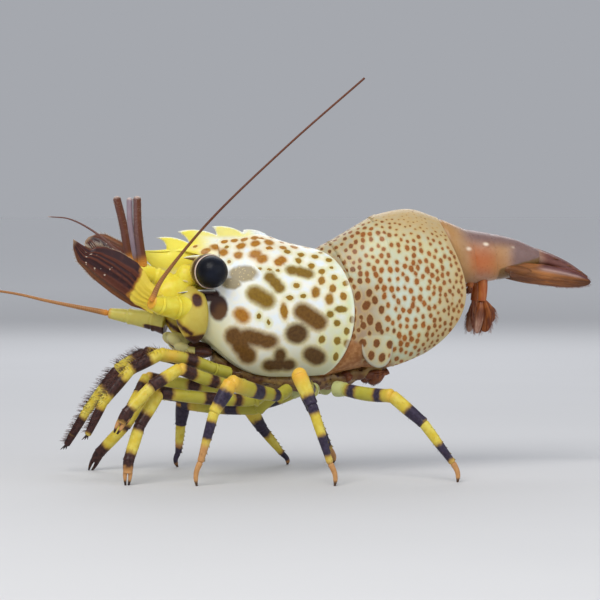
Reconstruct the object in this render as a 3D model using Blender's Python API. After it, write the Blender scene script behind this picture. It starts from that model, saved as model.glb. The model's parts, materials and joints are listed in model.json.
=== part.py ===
"""A banded, spotted caridean shrimp at life size, standing on its walking legs.

The design frame is in millimetres: the head points along -X, the tail along +X, the
animal's left side is -Y, the floor is Z = 0 and the body's plane of symmetry is Y = 0.
Body plates are lofted through named cross-sections, limbs and feelers are tapered tubes,
and blades are thin leaves. Neighbouring pieces stay GAP apart.
"""

import math

import bmesh
import bpy
from mathutils import Matrix, Vector

MM = 0.001
GAP = 0.3
SIDES = 28
TUBE_BEVEL = 2

# Body: where the carapace starts and ends, its half width, and the heights of its back,
# of the tail's hump and of the belly.
CARAPACE_FRONT_X = -8.6
CARAPACE_BACK_X = 4.9
CARAPACE_HALF_WIDTH = 6.4
BACK_Z = 33.3
HUMP_Z = 36.4
BELLY_Z = 13.0
WIDEST = 0.56
GROOVE_REACH = 0.62

# Head furniture, one side; the other side is its mirror image.
EYE_RADIUS = 2.2
EYE_CENTRE = (-10.45, 6.0, 28.2)
STALK_ROOT = (-11.7, 0.45, 28.3)
STALK_RADII = (1.15, 1.25, 1.5)
ROSTRUM_TIP_X = -19.3
ROSTRUM_THICKNESS = 1.0
LOBE_CENTRE = (-13.6, 5.1, 22.2)
LOBE_SIZE = (2.3, 1.6, 3.6)
LOBE_TILT = 12

# The rostrum's teeth, front to back, as (x, z) in the plane of symmetry: the deep bottom of
# the notch in front, the tooth's root, its tip and its shoulder.
ROSTRAL_TEETH = [
    ((-16.4, 30.7), (-15.4, 31.4), (-17.3, 32.7), (-14.6, 32.6)),
    ((-12.6, 32.0), (-12.3, 32.5), (-14.1, 33.5), (-11.6, 33.7)),
    ((-8.8, 33.1), (-8.6, 33.5), (-9.2, 34.2), (-6.8, 33.9)),
]
ROSTRUM_END = [(-5.3, 33.55), (-5.3, 33.2)]
ROSTRUM_UNDERSIDE = [
    (-6.4, 33.0), (-8.9, 32.6), (-9.4, 30.3), (-13.2, 30.1), (-15.5, 29.4), (-18.0, 30.0),
]

FEELER_BASE_RADIUS = 0.55
FEELER_TIP_RADIUS = 0.26
FEELER_STEPS = 22
ANTENNULE_STEPS = 8
BLADE_THICKNESS = 0.6
SWIMMERET_THICKNESS = 0.7
SWIMMERET_ROLL = 78

# How far from a joint a limb starts to bend, and how tall the upright end of a toe is.
KNEE_REACH = 0.9
TOE_HEIGHT = 0.9

# Limb radii at the joints listed below, from the thorax outwards.
LIMB_RADII = {
    "maxilliped": (0.80, 0.80, 0.80, 0.75, 0.62, 0.45),
    "pereiopod_1": (0.80, 0.80, 0.80, 0.75, 0.62, 0.45),
    "pereiopod_2": (0.80, 0.80, 0.80, 0.76, 0.66, 0.45),
    "pereiopod_3": (0.80, 0.82, 0.95, 0.72, 0.50, 0.42),
    "pereiopod_4": (0.80, 0.82, 1.00, 0.72, 0.50, 0.42),
    "pereiopod_5": (0.80, 0.82, 0.88, 0.78, 0.52, 0.42),
}

# Joint positions of each limb, from the thorax outwards. The last point of a walking leg is
# its foot, straight above which the toe stands on its small flat.
WALKING_LEGS = {
    "pereiopod_2_L": [
        (-2.4, -3.5, 12.0), (-4.2, -4.6, 10.6), (-17.9, -8.0, 12.2),
        (-20.7, -9.0, 8.0), (-22.4, -9.9, 3.2), (-22.6, -10.0, 0.0),
    ],
    "pereiopod_2_R": [
        (-1.8, 3.5, 11.8), (-3.4, 4.6, 10.2), (-16.6, 9.0, 11.0),
        (-19.9, 10.0, 6.3), (-23.4, 11.4, 2.4), (-24.6, 11.8, 0.0),
    ],
    "pereiopod_3_L": [
        (0.6, -3.5, 12.0), (-1.0, -5.2, 11.3), (-8.9, -12.0, 13.6),
        (-11.3, -12.6, 9.8), (-13.2, -12.8, 3.2), (-13.7, -12.8, 0.0),
    ],
    "pereiopod_3_R": [
        (1.0, 3.5, 11.8), (-1.6, 6.2, 8.7), (-11.3, 12.0, 9.4),
        (-11.5, 13.0, 6.2), (-11.7, 14.0, 2.0), (-11.8, 14.0, 0.0),
    ],
    "pereiopod_4_L": [
        (4.2, -3.5, 12.0), (3.6, -5.4, 11.9), (-0.1, -14.0, 14.6),
        (1.3, -15.4, 10.9), (3.6, -16.4, 3.0), (4.2, -16.5, 0.0),
    ],
    "pereiopod_4_R": [
        (4.4, 3.5, 11.8), (3.2, 5.0, 11.0), (-2.1, 12.0, 8.9),
        (0.2, 13.0, 5.4), (3.4, 14.2, 1.6), (4.2, 14.4, 0.0),
    ],
    "pereiopod_5_L": [
        (7.2, -3.4, 12.0), (8.2, -4.8, 12.0), (13.3, -11.0, 11.5),
        (17.2, -13.0, 7.9), (20.8, -14.9, 2.6), (21.4, -15.1, 0.0),
    ],
    "pereiopod_5_R": [
        (7.4, 3.4, 11.8), (7.6, 5.0, 11.6), (5.6, 12.0, 12.0),
        (7.7, 14.0, 8.0), (10.6, 15.0, 2.0), (11.1, 15.1, 0.0),
    ],
}
RAISED_LIMBS = {
    "maxilliped_L": [
        (-7.4, -3.3, 14.3), (-9.6, -4.2, 14.9), (-17.6, -6.5, 17.2),
        (-21.7, -7.5, 15.3), (-25.4, -8.0, 11.1), (-27.7, -8.5, 6.6),
    ],
    "maxilliped_R": [
        (-7.4, 3.3, 14.1), (-9.6, 4.2, 14.6), (-17.6, 6.5, 16.7),
        (-21.3, 7.5, 14.4), (-25.6, 8.0, 8.6), (-28.4, 8.5, 3.8),
    ],
    "pereiopod_1_L": [
        (-5.4, -3.3, 12.8), (-7.2, -4.9, 12.6), (-15.3, -9.0, 15.4),
        (-19.2, -10.0, 13.2), (-22.8, -10.5, 9.6), (-24.2, -10.6, 7.0),
    ],
    "pereiopod_1_R": [
        (-5.0, 3.3, 12.2), (-6.6, 4.8, 11.9), (-17.4, 6.4, 13.3),
        (-18.7, 5.0, 11.3), (-20.3, 3.6, 8.8), (-21.1, 3.1, 7.1),
    ],
}

# Long second-antenna feelers: the left one sweeps up and back, the right one reaches forward.
FEELERS = {
    "antenna_flagellum_L": [
        (-19.0, -8.1, 24.4), (-17.2, -9.0, 28.0), (-11.1, -12.0, 35.8),
        (-1.1, -12.5, 45.3), (9.5, -11.0, 54.2),
    ],
    "antenna_flagellum_R": [
        (-22.9, 9.2, 22.2), (-30.0, 12.0, 23.7), (-36.8, 15.0, 25.1),
        (-49.0, 21.0, 26.1), (-62.7, 27.0, 25.6),
    ],
}

# The stems that carry the feelers: joints, then the radius at the root and at the end.
PEDUNCLES = {
    "antenna_peduncle_L": ([(-16.4, -6.2, 22.9), (-18.7, -7.8, 23.8)], 1.15, 0.95),
    "antenna_peduncle_R": ([(-16.4, 6.2, 21.2), (-22.5, 9.0, 22.0)], 1.15, 0.85),
    "antennule_peduncle_L": ([(-13.6, -2.1, 26.2), (-16.4, -2.5, 27.4), (-19.2, -2.6, 28.6)], 1.1, 0.85),
    "antennule_peduncle_R": ([(-13.6, 2.1, 26.4), (-16.6, 2.5, 27.8), (-19.8, 2.6, 29.1)], 1.1, 0.85),
}
ANTENNULE_FEELERS = {
    "antennule_outer_L": (
        [(-19.4, -3.0, 29.7), (-19.8, -3.1, 31.4), (-20.2, -3.4, 34.6), (-20.3, -3.6, 38.4)], 0.5, 0.44,
    ),
    "antennule_outer_R": (
        [(-20.2, 3.0, 30.2), (-20.7, 3.1, 32.2), (-21.1, 3.3, 34.6), (-22.0, 3.6, 38.4)], 0.5, 0.44,
    ),
    "antennule_inner_L": (
        [(-20.4, -2.3, 29.7), (-21.0, -2.7, 32.0), (-21.5, -3.1, 35.0), (-21.6, -3.3, 38.0)], 0.32, 0.26,
    ),
    "antennule_inner_R": (
        [(-21.0, 2.0, 29.9), (-24.6, 3.6, 33.2), (-28.0, 5.4, 35.2), (-31.0, 7.0, 35.6)], 0.32, 0.26,
    ),
}

# Leaf-shaped blades: root, tip, widest width, and roll about the line from root to tip.
BLADES = {
    "antennal_scale_L": ((-17.0, -4.3, 24.2), (-29.3, -7.2, 32.6), 5.6, 74),
    "antennal_scale_R": ((-17.0, 4.3, 24.6), (-25.6, 7.6, 32.4), 5.0, -74),
    "uropod_outer_L": ((34.5, -2.6, 29.3), (43.6, -3.1, 26.0), 3.4, 62),
    "uropod_outer_R": ((34.5, 2.6, 29.3), (43.6, 3.1, 26.0), 3.4, -62),
    "uropod_inner_L": ((34.5, -1.4, 28.7), (42.6, -1.5, 25.9), 2.5, 35),
    "uropod_inner_R": ((34.5, 1.4, 28.7), (42.6, 1.5, 25.9), 2.5, -35),
}

# Swimmerets, one pair under each of the first five tail segments: root, tip and width.
SWIMMERETS = {
    1: ((11.4, 1.6, 13.6), (9.2, 1.9, 12.3), 1.9),
    2: ((15.4, 1.7, 14.4), (12.2, 2.0, 12.6), 2.2),
    3: ((16.7, 1.5, 15.6), (18.9, 1.5, 14.9), 1.3),
    4: ((26.7, 1.4, 24.9), (26.3, 1.7, 21.9), 1.3),
    5: ((28.7, 1.6, 25.6), (28.3, 2.2, 18.4), 3.3),
}

SHELL = (0.80, 0.78, 0.52)
SPOTTED = (0.74, 0.66, 0.42)
TAIL = (0.55, 0.26, 0.14)
FACE = (0.82, 0.66, 0.08)
LEG = (0.72, 0.55, 0.12)
DARK = (0.20, 0.07, 0.04)
EYE = (0.01, 0.012, 0.02)


def clear_scene():
    for obj in list(bpy.data.objects):
        bpy.data.objects.remove(obj, do_unlink=True)


def collection(name):
    made = bpy.data.collections.new(name)
    bpy.context.scene.collection.children.link(made)
    return made


def finish_object(obj, colour, roughness=0.45):
    """Links a piece, parents it to the root empty and gives it its own material."""
    PARTS.objects.link(obj)
    obj.parent = ROOT
    material = bpy.data.materials.new(obj.name + "_finish")
    material.use_nodes = True
    shader = material.node_tree.nodes["Principled BSDF"]
    shader.inputs["Base Color"].default_value = (*colour, 1.0)
    shader.inputs["Roughness"].default_value = roughness
    shader.inputs["Metallic"].default_value = 0.0
    obj.data.materials.append(material)
    return obj


class Section:
    """One cross-section of the body: a rounded ring between a back point and a belly point.

    bow moves the ring's flank along X, most at the height share bow_at (0 is the back,
    1 is the belly). groove lifts the belly's middle, where the swimmerets lie. upper and
    lower are the roundness of the ring above and below its widest place.
    """

    NUMBERS = (
        "top_x", "top_z", "low_x", "low_z", "width",
        "bow", "bow_at", "groove", "upper", "lower",
    )

    def __init__(self, top, low, width, bow=0.0, bow_at=0.5, groove=0.0, upper=2.1, lower=2.7):
        self.top_x, self.top_z = top
        self.low_x, self.low_z = low
        self.width = width
        self.bow = bow
        self.bow_at = bow_at
        self.groove = groove
        self.upper = upper
        self.lower = lower

    def moved(self, dx):
        copy = Section.__new__(Section)
        for name in self.NUMBERS:
            setattr(copy, name, getattr(self, name))
        copy.top_x += dx
        copy.low_x += dx
        return copy

    def points(self):
        ring = []
        for step in range(SIDES):
            angle = 2 * math.pi * step / SIDES
            across, along = math.sin(angle), math.cos(angle)
            power = 2.0 / (self.upper if along > 0 else self.lower)
            y = math.copysign(abs(across) ** power, across) * self.width
            reach = abs(along) ** power
            share = WIDEST - WIDEST * reach if along > 0 else WIDEST + (1 - WIDEST) * reach
            groove_half = GROOVE_REACH * self.width
            if along < 0 and abs(y) < groove_half:
                depth = self.groove * math.cos(math.pi * y / (2 * groove_half)) ** 2
                share -= depth / (self.top_z - self.low_z)
            skew = math.log(0.5) / math.log(self.bow_at)
            bowed = self.bow * math.sin(math.pi * min(max(share, 0), 1) ** skew) ** 0.85
            x = self.top_x + (self.low_x - self.top_x) * share + bowed
            z = self.top_z + (self.low_z - self.top_z) * share
            ring.append(Vector((x, y, z)))
        return ring


def between(first, second, before, after, share):
    """A section blended between two, on a smooth curve through their neighbours."""
    made = Section.__new__(Section)
    for name in Section.NUMBERS:
        p0, p1, p2, p3 = (getattr(s, name) for s in (before, first, second, after))
        value = 0.5 * (
            2 * p1
            + (p2 - p0) * share
            + (2 * p0 - 5 * p1 + 4 * p2 - p3) * share**2
            + (3 * p1 - p0 - 3 * p2 + p3) * share**3
        )
        setattr(made, name, value)
    return made


def smooth_sections(sections, steps):
    padded = [sections[0], *sections, sections[-1]]
    made = []
    for i in range(len(sections) - 1):
        before, first, second, after = padded[i : i + 4]
        for step in range(steps):
            made.append(between(first, second, before, after, step / steps))
    return made + [sections[-1]]


def loft(name, sections, colour, steps=3, roughness=0.45, back_dish=0.0):
    """A closed body through sections with fans for ends; back_dish moves the rear fan's hub along X."""
    rings = [section.points() for section in smooth_sections(sections, steps)]
    centre = sum(rings[0], Vector()) / SIDES
    mesh = bpy.data.meshes.new(name)
    bm = bmesh.new()
    rows = [[bm.verts.new((p - centre) * MM) for p in ring] for ring in rings]
    for row, following in zip(rows, rows[1:]):
        for i in range(SIDES):
            j = (i + 1) % SIDES
            bm.faces.new((row[i], row[j], following[j], following[i]))
    for row, ring, dish in ((rows[0], rings[0], 0.0), (rows[-1], rings[-1], back_dish)):
        middle = sum(ring, Vector()) / SIDES + Vector((dish, 0, 0))
        hub = bm.verts.new((middle - centre) * MM)
        for i in range(SIDES):
            bm.faces.new((row[i], row[(i + 1) % SIDES], hub))
    bmesh.ops.recalc_face_normals(bm, faces=bm.faces)
    bm.to_mesh(mesh)
    bm.free()
    mesh.shade_smooth()
    obj = bpy.data.objects.new(name, mesh)
    obj.location = centre * MM
    return finish_object(obj, colour, roughness)


def tube(name, points, radii, colour, bevel=TUBE_BEVEL):
    """A tapered tube with flat ends through points, placed by its first point."""
    start = Vector(points[0])
    curve = bpy.data.curves.new(name, "CURVE")
    curve.dimensions = "3D"
    curve.bevel_depth = MM
    curve.bevel_resolution = bevel
    curve.use_fill_caps = True
    spline = curve.splines.new("POLY")
    spline.points.add(len(points) - 1)
    for point, place, radius in zip(spline.points, points, radii):
        point.co = (*((Vector(place) - start) * MM), 1.0)
        point.radius = radius
    obj = bpy.data.objects.new(name, curve)
    obj.location = start * MM
    return finish_object(obj, colour)


def bent_limb(joints, joint_radii):
    """The path and radii of a limb: each inner joint becomes three points round its bend."""
    path = [Vector(joints[0])]
    radii = [joint_radii[0]]
    for before, joint, after, radius in zip(joints, joints[1:], joints[2:], joint_radii[1:]):
        joint = Vector(joint)
        to_before = Vector(before) - joint
        to_after = Vector(after) - joint
        entry = joint + to_before.normalized() * min(KNEE_REACH, to_before.length / 3)
        leave = joint + to_after.normalized() * min(KNEE_REACH, to_after.length / 3)
        path += [entry, (entry + leave) / 4 + joint / 2, leave]
        radii += [radius] * 3
    return path + [Vector(joints[-1])], radii + [joint_radii[-1]]


def share_along(path):
    """How far along the path each point lies, from 0 to 1."""
    lengths = [0.0]
    for before, after in zip(path, path[1:]):
        lengths.append(lengths[-1] + (after - before).length)
    return [length / lengths[-1] for length in lengths]


def tapered(path, root_radius, tip_radius, power=1.0):
    """Radii from the root's to the tip's, falling fastest near the root when power is under 1."""
    return [root_radius + (tip_radius - root_radius) * share**power for share in share_along(path)]


def smooth_path(points, steps):
    """Points read at even steps from a smooth curve through the given points."""
    points = [Vector(p) for p in points]
    padded = [2 * points[0] - points[1], *points, 2 * points[-1] - points[-2]]
    spans = len(points) - 1
    path = []
    for step in range(steps + 1):
        place = min(spans * step / steps, spans - 1e-9)
        i = int(place)
        t = place - i
        p0, p1, p2, p3 = padded[i : i + 4]
        bend = (2 * p0 - 5 * p1 + 4 * p2 - p3) * t**2 + (3 * p1 - p0 - 3 * p2 + p3) * t**3
        path.append(0.5 * (2 * p1 + (p2 - p0) * t + bend))
    return path


def ellipsoid(name, centre, size, colour, roughness=0.45, tilt=0.0, rows=11):
    """An ellipsoid of three half sizes, turned about its Y axis by tilt degrees."""
    mesh = bpy.data.meshes.new(name)
    bm = bmesh.new()
    bmesh.ops.create_uvsphere(bm, u_segments=rows + 4, v_segments=rows, radius=MM)
    bmesh.ops.scale(bm, vec=size, verts=bm.verts)
    bm.to_mesh(mesh)
    bm.free()
    mesh.shade_smooth()
    obj = bpy.data.objects.new(name, mesh)
    obj.location = Vector(centre) * MM
    obj.rotation_euler.y = math.radians(tilt)
    return finish_object(obj, colour, roughness)


def flat_outline(name, points, thickness, matrix, colour):
    """A flat plate: a closed 2D outline in its own XY plane, given a thickness along its Z."""
    curve = bpy.data.curves.new(name, "CURVE")
    curve.dimensions = "2D"
    curve.fill_mode = "BOTH"
    curve.extrude = thickness / 2 * MM
    spline = curve.splines.new("POLY")
    spline.points.add(len(points) - 1)
    for point, (x, y) in zip(spline.points, points):
        point.co = (x * MM, y * MM, 0.0, 1.0)
    spline.use_cyclic_u = True
    obj = bpy.data.objects.new(name, curve)
    obj.matrix_local = matrix
    return finish_object(obj, colour)


def leaf_half_width(share, root_share=0.42):
    """A leaf's width from root (0) to tip (1), where 1 is its widest."""
    swell = root_share + (1 - root_share) * math.sin(math.pi / 2 * min(1.0, share / 0.55))
    fall = max(0.0, (share - 0.35) / 0.65)
    return swell * math.sqrt(max(0.0, 1 - fall**2.4))


def blade(name, root, tip, width, roll, colour, steps=8, thickness=BLADE_THICKNESS):
    """A thin leaf from root to tip; roll turns it about its own length."""
    root, tip = Vector(root), Vector(tip)
    length = (tip - root).length
    along = (tip - root).normalized()
    across = along.cross(Vector((0, 0, 1))).normalized()
    normal = along.cross(across)
    frame = Matrix((along, across, normal)).transposed().to_4x4()
    turn = Matrix.Rotation(math.radians(roll), 4, "X")
    shares = [step / steps for step in range(steps)]
    upper = [(share * length, leaf_half_width(share) * width / 2) for share in shares]
    lower = [(x, -y) for x, y in reversed(upper)]
    matrix = Matrix.Translation(root * MM) @ frame @ turn
    return flat_outline(name, upper + [(length, 0.0)] + lower, thickness, matrix, colour)


def mirrored(point, side):
    return (point[0], point[1] * side, point[2])


def make_body():
    front = Section((CARAPACE_FRONT_X, 32.2), (CARAPACE_FRONT_X, 17.0), 4.4, -1.9, 0.62, 0.0, 1.7, 2.6)
    cheeks = Section((-6.4, 32.6), (-6.2, 14.9), 5.4, -1.2, 0.6, 0.0, 1.85)
    middle = Section((-3.0, BACK_Z), (-3.4, 13.6), 6.1, 0.0, 0.5, 0.0, 1.95)
    heart = Section((1.0, 32.1), (0.4, BELLY_Z), 6.35, 2.4, 0.52, 0.0, 2.0)
    carapace_back = Section((CARAPACE_BACK_X, 31.2), (3.6, 13.1), CARAPACE_HALF_WIDTH, 5.2, 0.54)
    loft("carapace", [front, cheeks, middle, heart, carapace_back], SHELL, roughness=0.3)

    waist = Section((5.3, 31.3), (4.0, 13.2), 6.3, 5.2, 0.54)
    first_back = Section((7.6, 32.4), (10.6, 14.2), 6.3, 1.8, 0.54, 2.2)
    second_back = Section((13.5, 35.7), (15.3, 14.1), 6.4, 0.9, 0.55, 3.8)
    third_middle = Section((18.2, HUMP_Z), (17.0, 14.9), 6.1, 3.2, 0.57, 4.2)
    third_back = Section((21.9, 35.2), (18.5, 15.8), 5.2, 5.4, 0.6, 2.4)
    loft("pleonite_1", [waist, first_back], SPOTTED)
    loft("pleonite_2", [first_back.moved(GAP), second_back], SPOTTED, steps=4)
    third = [second_back.moved(GAP), third_middle, third_back]
    loft("pleonite_3", third, SPOTTED, steps=4, back_dish=-4.0)

    fourth_front = Section((23.3, 34.7), (25.0, 26.0), 3.7, 0.4)
    fourth_back = Section((26.3, 33.7), (27.2, 25.9), 3.7, 0.2)
    fifth_back = Section((29.8, 33.1), (30.5, 26.3), 3.5)
    sixth_back = Section((34.0, 32.2), (33.8, 26.9), 2.9)
    loft("pleonite_4", [fourth_front, fourth_back], TAIL)
    loft("pleonite_5", [fourth_back.moved(GAP), fifth_back], TAIL)
    loft("pleonite_6", [fifth_back.moved(GAP), sixth_back], TAIL)

    telson_root = Section((34.4, 32.0), (34.4, 30.5), 1.9)
    telson_tip = Section((44.2, 27.3), (44.0, 26.6), 0.55)
    loft("telson", [telson_root, telson_tip], TAIL)

    breast_front = Section((-7.0, 13.5), (-6.6, 12.3), 2.3)
    breast_middle = Section((-2.0, 12.8), (-2.0, 11.5), 3.0)
    breast_back = Section((8.6, 12.8), (8.6, 11.5), 2.6)
    loft("thorax_underside", [breast_front, breast_middle, breast_back], LEG)


def make_head():
    head_back = Section((-9.3, 26.6), (-9.3, 18.4), 3.1, -1.2, 0.5)
    head_front = Section((-13.2, 26.6), (-12.8, 21.0), 2.9)
    loft("head", [head_back, head_front], FACE)
    ellipsoid("mouthparts", (-12.9, 0, 18.1), (3.2, 2.9, 1.3), FACE, rows=9)

    # The rostrum stands as a thin toothed blade over the eyes and runs back as a low crest.
    outline = [(ROSTRUM_TIP_X, 31.0)]
    for notch, root, tip, shoulder in ROSTRAL_TEETH:
        outline += [notch, root, tip, shoulder]
    outline += ROSTRUM_END + ROSTRUM_UNDERSIDE
    stand_up = Matrix.Rotation(math.radians(90), 4, "X")
    flat_outline("rostrum", outline, ROSTRUM_THICKNESS, stand_up, FACE)

    for side, letter in ((-1, "L"), (1, "R")):
        eye = Vector(mirrored(EYE_CENTRE, side))
        ellipsoid("eye_" + letter, eye, (EYE_RADIUS,) * 3, EYE, roughness=0.08)
        root = Vector(mirrored(STALK_ROOT, side))
        end = eye - (eye - root).normalized() * (EYE_RADIUS + GAP)
        tube("eyestalk_" + letter, [root, (root + end) / 2, end], STALK_RADII, FACE)
        lobe = mirrored(LOBE_CENTRE, side)
        ellipsoid("antenna_base_" + letter, lobe, LOBE_SIZE, FACE, tilt=LOBE_TILT, rows=9)


def make_feelers():
    for name, (joints, root_radius, tip_radius) in PEDUNCLES.items():
        path = [Vector(joint) for joint in joints]
        tube(name, path, tapered(path, root_radius, tip_radius), FACE)
    for name, (joints, root_radius, tip_radius) in ANTENNULE_FEELERS.items():
        path = smooth_path(joints, ANTENNULE_STEPS)
        tube(name, path, tapered(path, root_radius, tip_radius), DARK, bevel=1)
    for name, joints in FEELERS.items():
        path = smooth_path(joints, FEELER_STEPS)
        tube(name, path, tapered(path, FEELER_BASE_RADIUS, FEELER_TIP_RADIUS, 0.5), DARK, bevel=1)


def make_limbs():
    for name, joints in WALKING_LEGS.items():
        toe = Vector(joints[-1])
        heel = toe + Vector((0, 0, TOE_HEIGHT))
        path, radii = bent_limb([*joints[:-1], heel], LIMB_RADII[name[:-2]])
        tube(name, path + [toe], radii + radii[-1:], LEG)
    for name, joints in RAISED_LIMBS.items():
        path, radii = bent_limb(joints, LIMB_RADII[name[:-2]])
        tube(name, path, radii, LEG)


def make_blades():
    for name, (root, tip, width, roll) in BLADES.items():
        blade(name, root, tip, width, roll, TAIL)
    for number, (root, tip, width) in SWIMMERETS.items():
        for side, letter in ((-1, "L"), (1, "R")):
            name = f"pleopod_{number}_{letter}"
            start, end = mirrored(root, side), mirrored(tip, side)
            roll = SWIMMERET_ROLL * side
            blade(name, start, end, width, roll, DARK, steps=6, thickness=SWIMMERET_THICKNESS)


def centre_on_floor():
    """Moves the root so that the whole animal's box is centred on the origin, feet on the floor."""
    bpy.context.view_layer.update()
    graph = bpy.context.evaluated_depsgraph_get()
    corners = []
    for obj in PARTS.objects:
        if obj.type in ("MESH", "CURVE"):
            shown = obj.evaluated_get(graph)
            mesh = shown.to_mesh()
            corners += [shown.matrix_world @ vertex.co for vertex in mesh.vertices]
            shown.to_mesh_clear()
    low = [min(corner[axis] for corner in corners) for axis in range(3)]
    high = [max(corner[axis] for corner in corners) for axis in range(3)]
    ROOT.location = (-(low[0] + high[0]) / 2, -(low[1] + high[1]) / 2, -low[2])
    bpy.context.view_layer.update()


clear_scene()
PARTS = collection("Shrimp")
ROOT = bpy.data.objects.new("Shrimp_root", None)
PARTS.objects.link(ROOT)
make_body()
make_head()
make_feelers()
make_limbs()
make_blades()
centre_on_floor()
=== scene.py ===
"""Looks of the spotted, banded shrimp: shell plates, limbs, feelers, bristles and their colours.

Lengths are in millimetres in the animal's own frame: head towards -X, its left side at -Y,
floor at Z = 0, plane of symmetry at Y = 0. Shape.build turns them into metres in the row frame.
"""

import json
import math

import bpy
import numpy as np
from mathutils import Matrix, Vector, geometry

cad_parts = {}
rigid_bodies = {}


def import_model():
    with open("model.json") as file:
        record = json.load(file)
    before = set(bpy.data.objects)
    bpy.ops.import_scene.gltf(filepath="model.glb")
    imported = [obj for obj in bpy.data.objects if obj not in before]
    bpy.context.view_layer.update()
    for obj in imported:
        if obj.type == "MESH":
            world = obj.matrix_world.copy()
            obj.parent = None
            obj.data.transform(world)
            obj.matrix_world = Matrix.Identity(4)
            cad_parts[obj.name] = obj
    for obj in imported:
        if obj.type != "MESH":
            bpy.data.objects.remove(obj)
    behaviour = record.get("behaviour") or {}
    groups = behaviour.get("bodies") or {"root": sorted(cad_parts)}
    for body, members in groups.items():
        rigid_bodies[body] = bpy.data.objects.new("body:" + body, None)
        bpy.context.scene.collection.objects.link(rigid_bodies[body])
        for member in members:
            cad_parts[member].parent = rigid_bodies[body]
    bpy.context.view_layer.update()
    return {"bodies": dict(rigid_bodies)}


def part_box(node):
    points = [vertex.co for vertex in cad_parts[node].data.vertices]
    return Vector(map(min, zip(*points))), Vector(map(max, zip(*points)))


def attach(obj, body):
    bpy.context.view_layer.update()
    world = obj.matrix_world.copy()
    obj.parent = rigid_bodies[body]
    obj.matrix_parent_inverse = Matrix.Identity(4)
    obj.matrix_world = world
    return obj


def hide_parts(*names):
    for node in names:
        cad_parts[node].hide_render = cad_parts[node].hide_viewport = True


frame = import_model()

MM = 0.001
ROSTRUM_TIP_X = -19.3
BODY = next(iter(frame["bodies"]))


def box_centre(node):
    """The middle of a solid's box, in metres in the row frame."""
    low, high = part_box(node)
    return (low + high) / 2


# The animal's own origin in the row frame, from where the rostrum's tip and the two eyes are.
ORIGIN = np.array([
    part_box("rostrum")[0].x - ROSTRUM_TIP_X * MM,
    (box_centre("eye_L").y + box_centre("eye_R").y) / 2,
    0.0,
])
EYE = (np.array(box_centre("eye_L")) - ORIGIN) / MM
EYE_RADIUS = (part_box("eye_L")[1].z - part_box("eye_L")[0].z) / 2 / MM


# ---------------------------------------------------------------- mesh tools


def unit(vectors):
    """The vectors scaled to a length of one."""
    vectors = np.asarray(vectors, float)
    return vectors / np.maximum(np.linalg.norm(vectors, axis=-1, keepdims=True), 1e-9)


def smooth_step(value, low, high):
    """A smooth rise from 0 at low to 1 at high, or a fall where low is the larger."""
    share = np.clip((value - low) / (high - low), 0, 1)
    return share * share * (3 - 2 * share)


def smooth_path(points, steps):
    """Points read at even steps from a smooth curve through the given points."""
    points = np.asarray(points, float)
    padded = np.vstack([2 * points[0] - points[1], points, 2 * points[-1] - points[-2]])
    place = np.linspace(0, len(points) - 1 - 1e-9, steps)
    i = place.astype(int)
    t = (place - i)[:, None]
    p0, p1, p2, p3 = padded[i], padded[i + 1], padded[i + 2], padded[i + 3]
    return 0.5 * (
        2 * p1 + (p2 - p0) * t + (2 * p0 - 5 * p1 + 4 * p2 - p3) * t**2
        + (3 * p1 - p0 - 3 * p2 + p3) * t**3
    )


def distance_along(path):
    """How far along the path each of its points lies, from 0."""
    steps = np.linalg.norm(np.diff(path, axis=0), axis=-1)
    return np.concatenate([np.zeros_like(steps[:1]), np.cumsum(steps, axis=0)])


def carried_frames(path):
    """Two unit vectors across the path at each of its points, turning as little as they can."""
    tangents = unit(np.gradient(path, axis=0))
    start = np.array([0.0, 0.0, 1.0]) if abs(tangents[0][2]) < 0.8 else np.array([1.0, 0.0, 0.0])
    across = [start - tangents[0] * (start @ tangents[0])]
    for tangent in tangents[1:]:
        across.append(across[-1] - tangent * (across[-1] @ tangent))
    across = unit(across)
    return across, np.cross(tangents, across)


def tube_rings(path, tall, wide=None, sides=16):
    """Rings round a path; tall and wide are the radii along its two carried directions."""
    path = np.asarray(path, float)
    tall = np.broadcast_to(tall, len(path))
    wide = tall if wide is None else np.broadcast_to(wide, len(path))
    up, side = carried_frames(path)
    turn = np.linspace(0, 2 * math.pi, sides, endpoint=False)
    return (
        path[:, None]
        + up[:, None] * (np.cos(turn)[None, :, None] * tall[:, None, None])
        + side[:, None] * (np.sin(turn)[None, :, None] * wide[:, None, None])
    )


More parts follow.
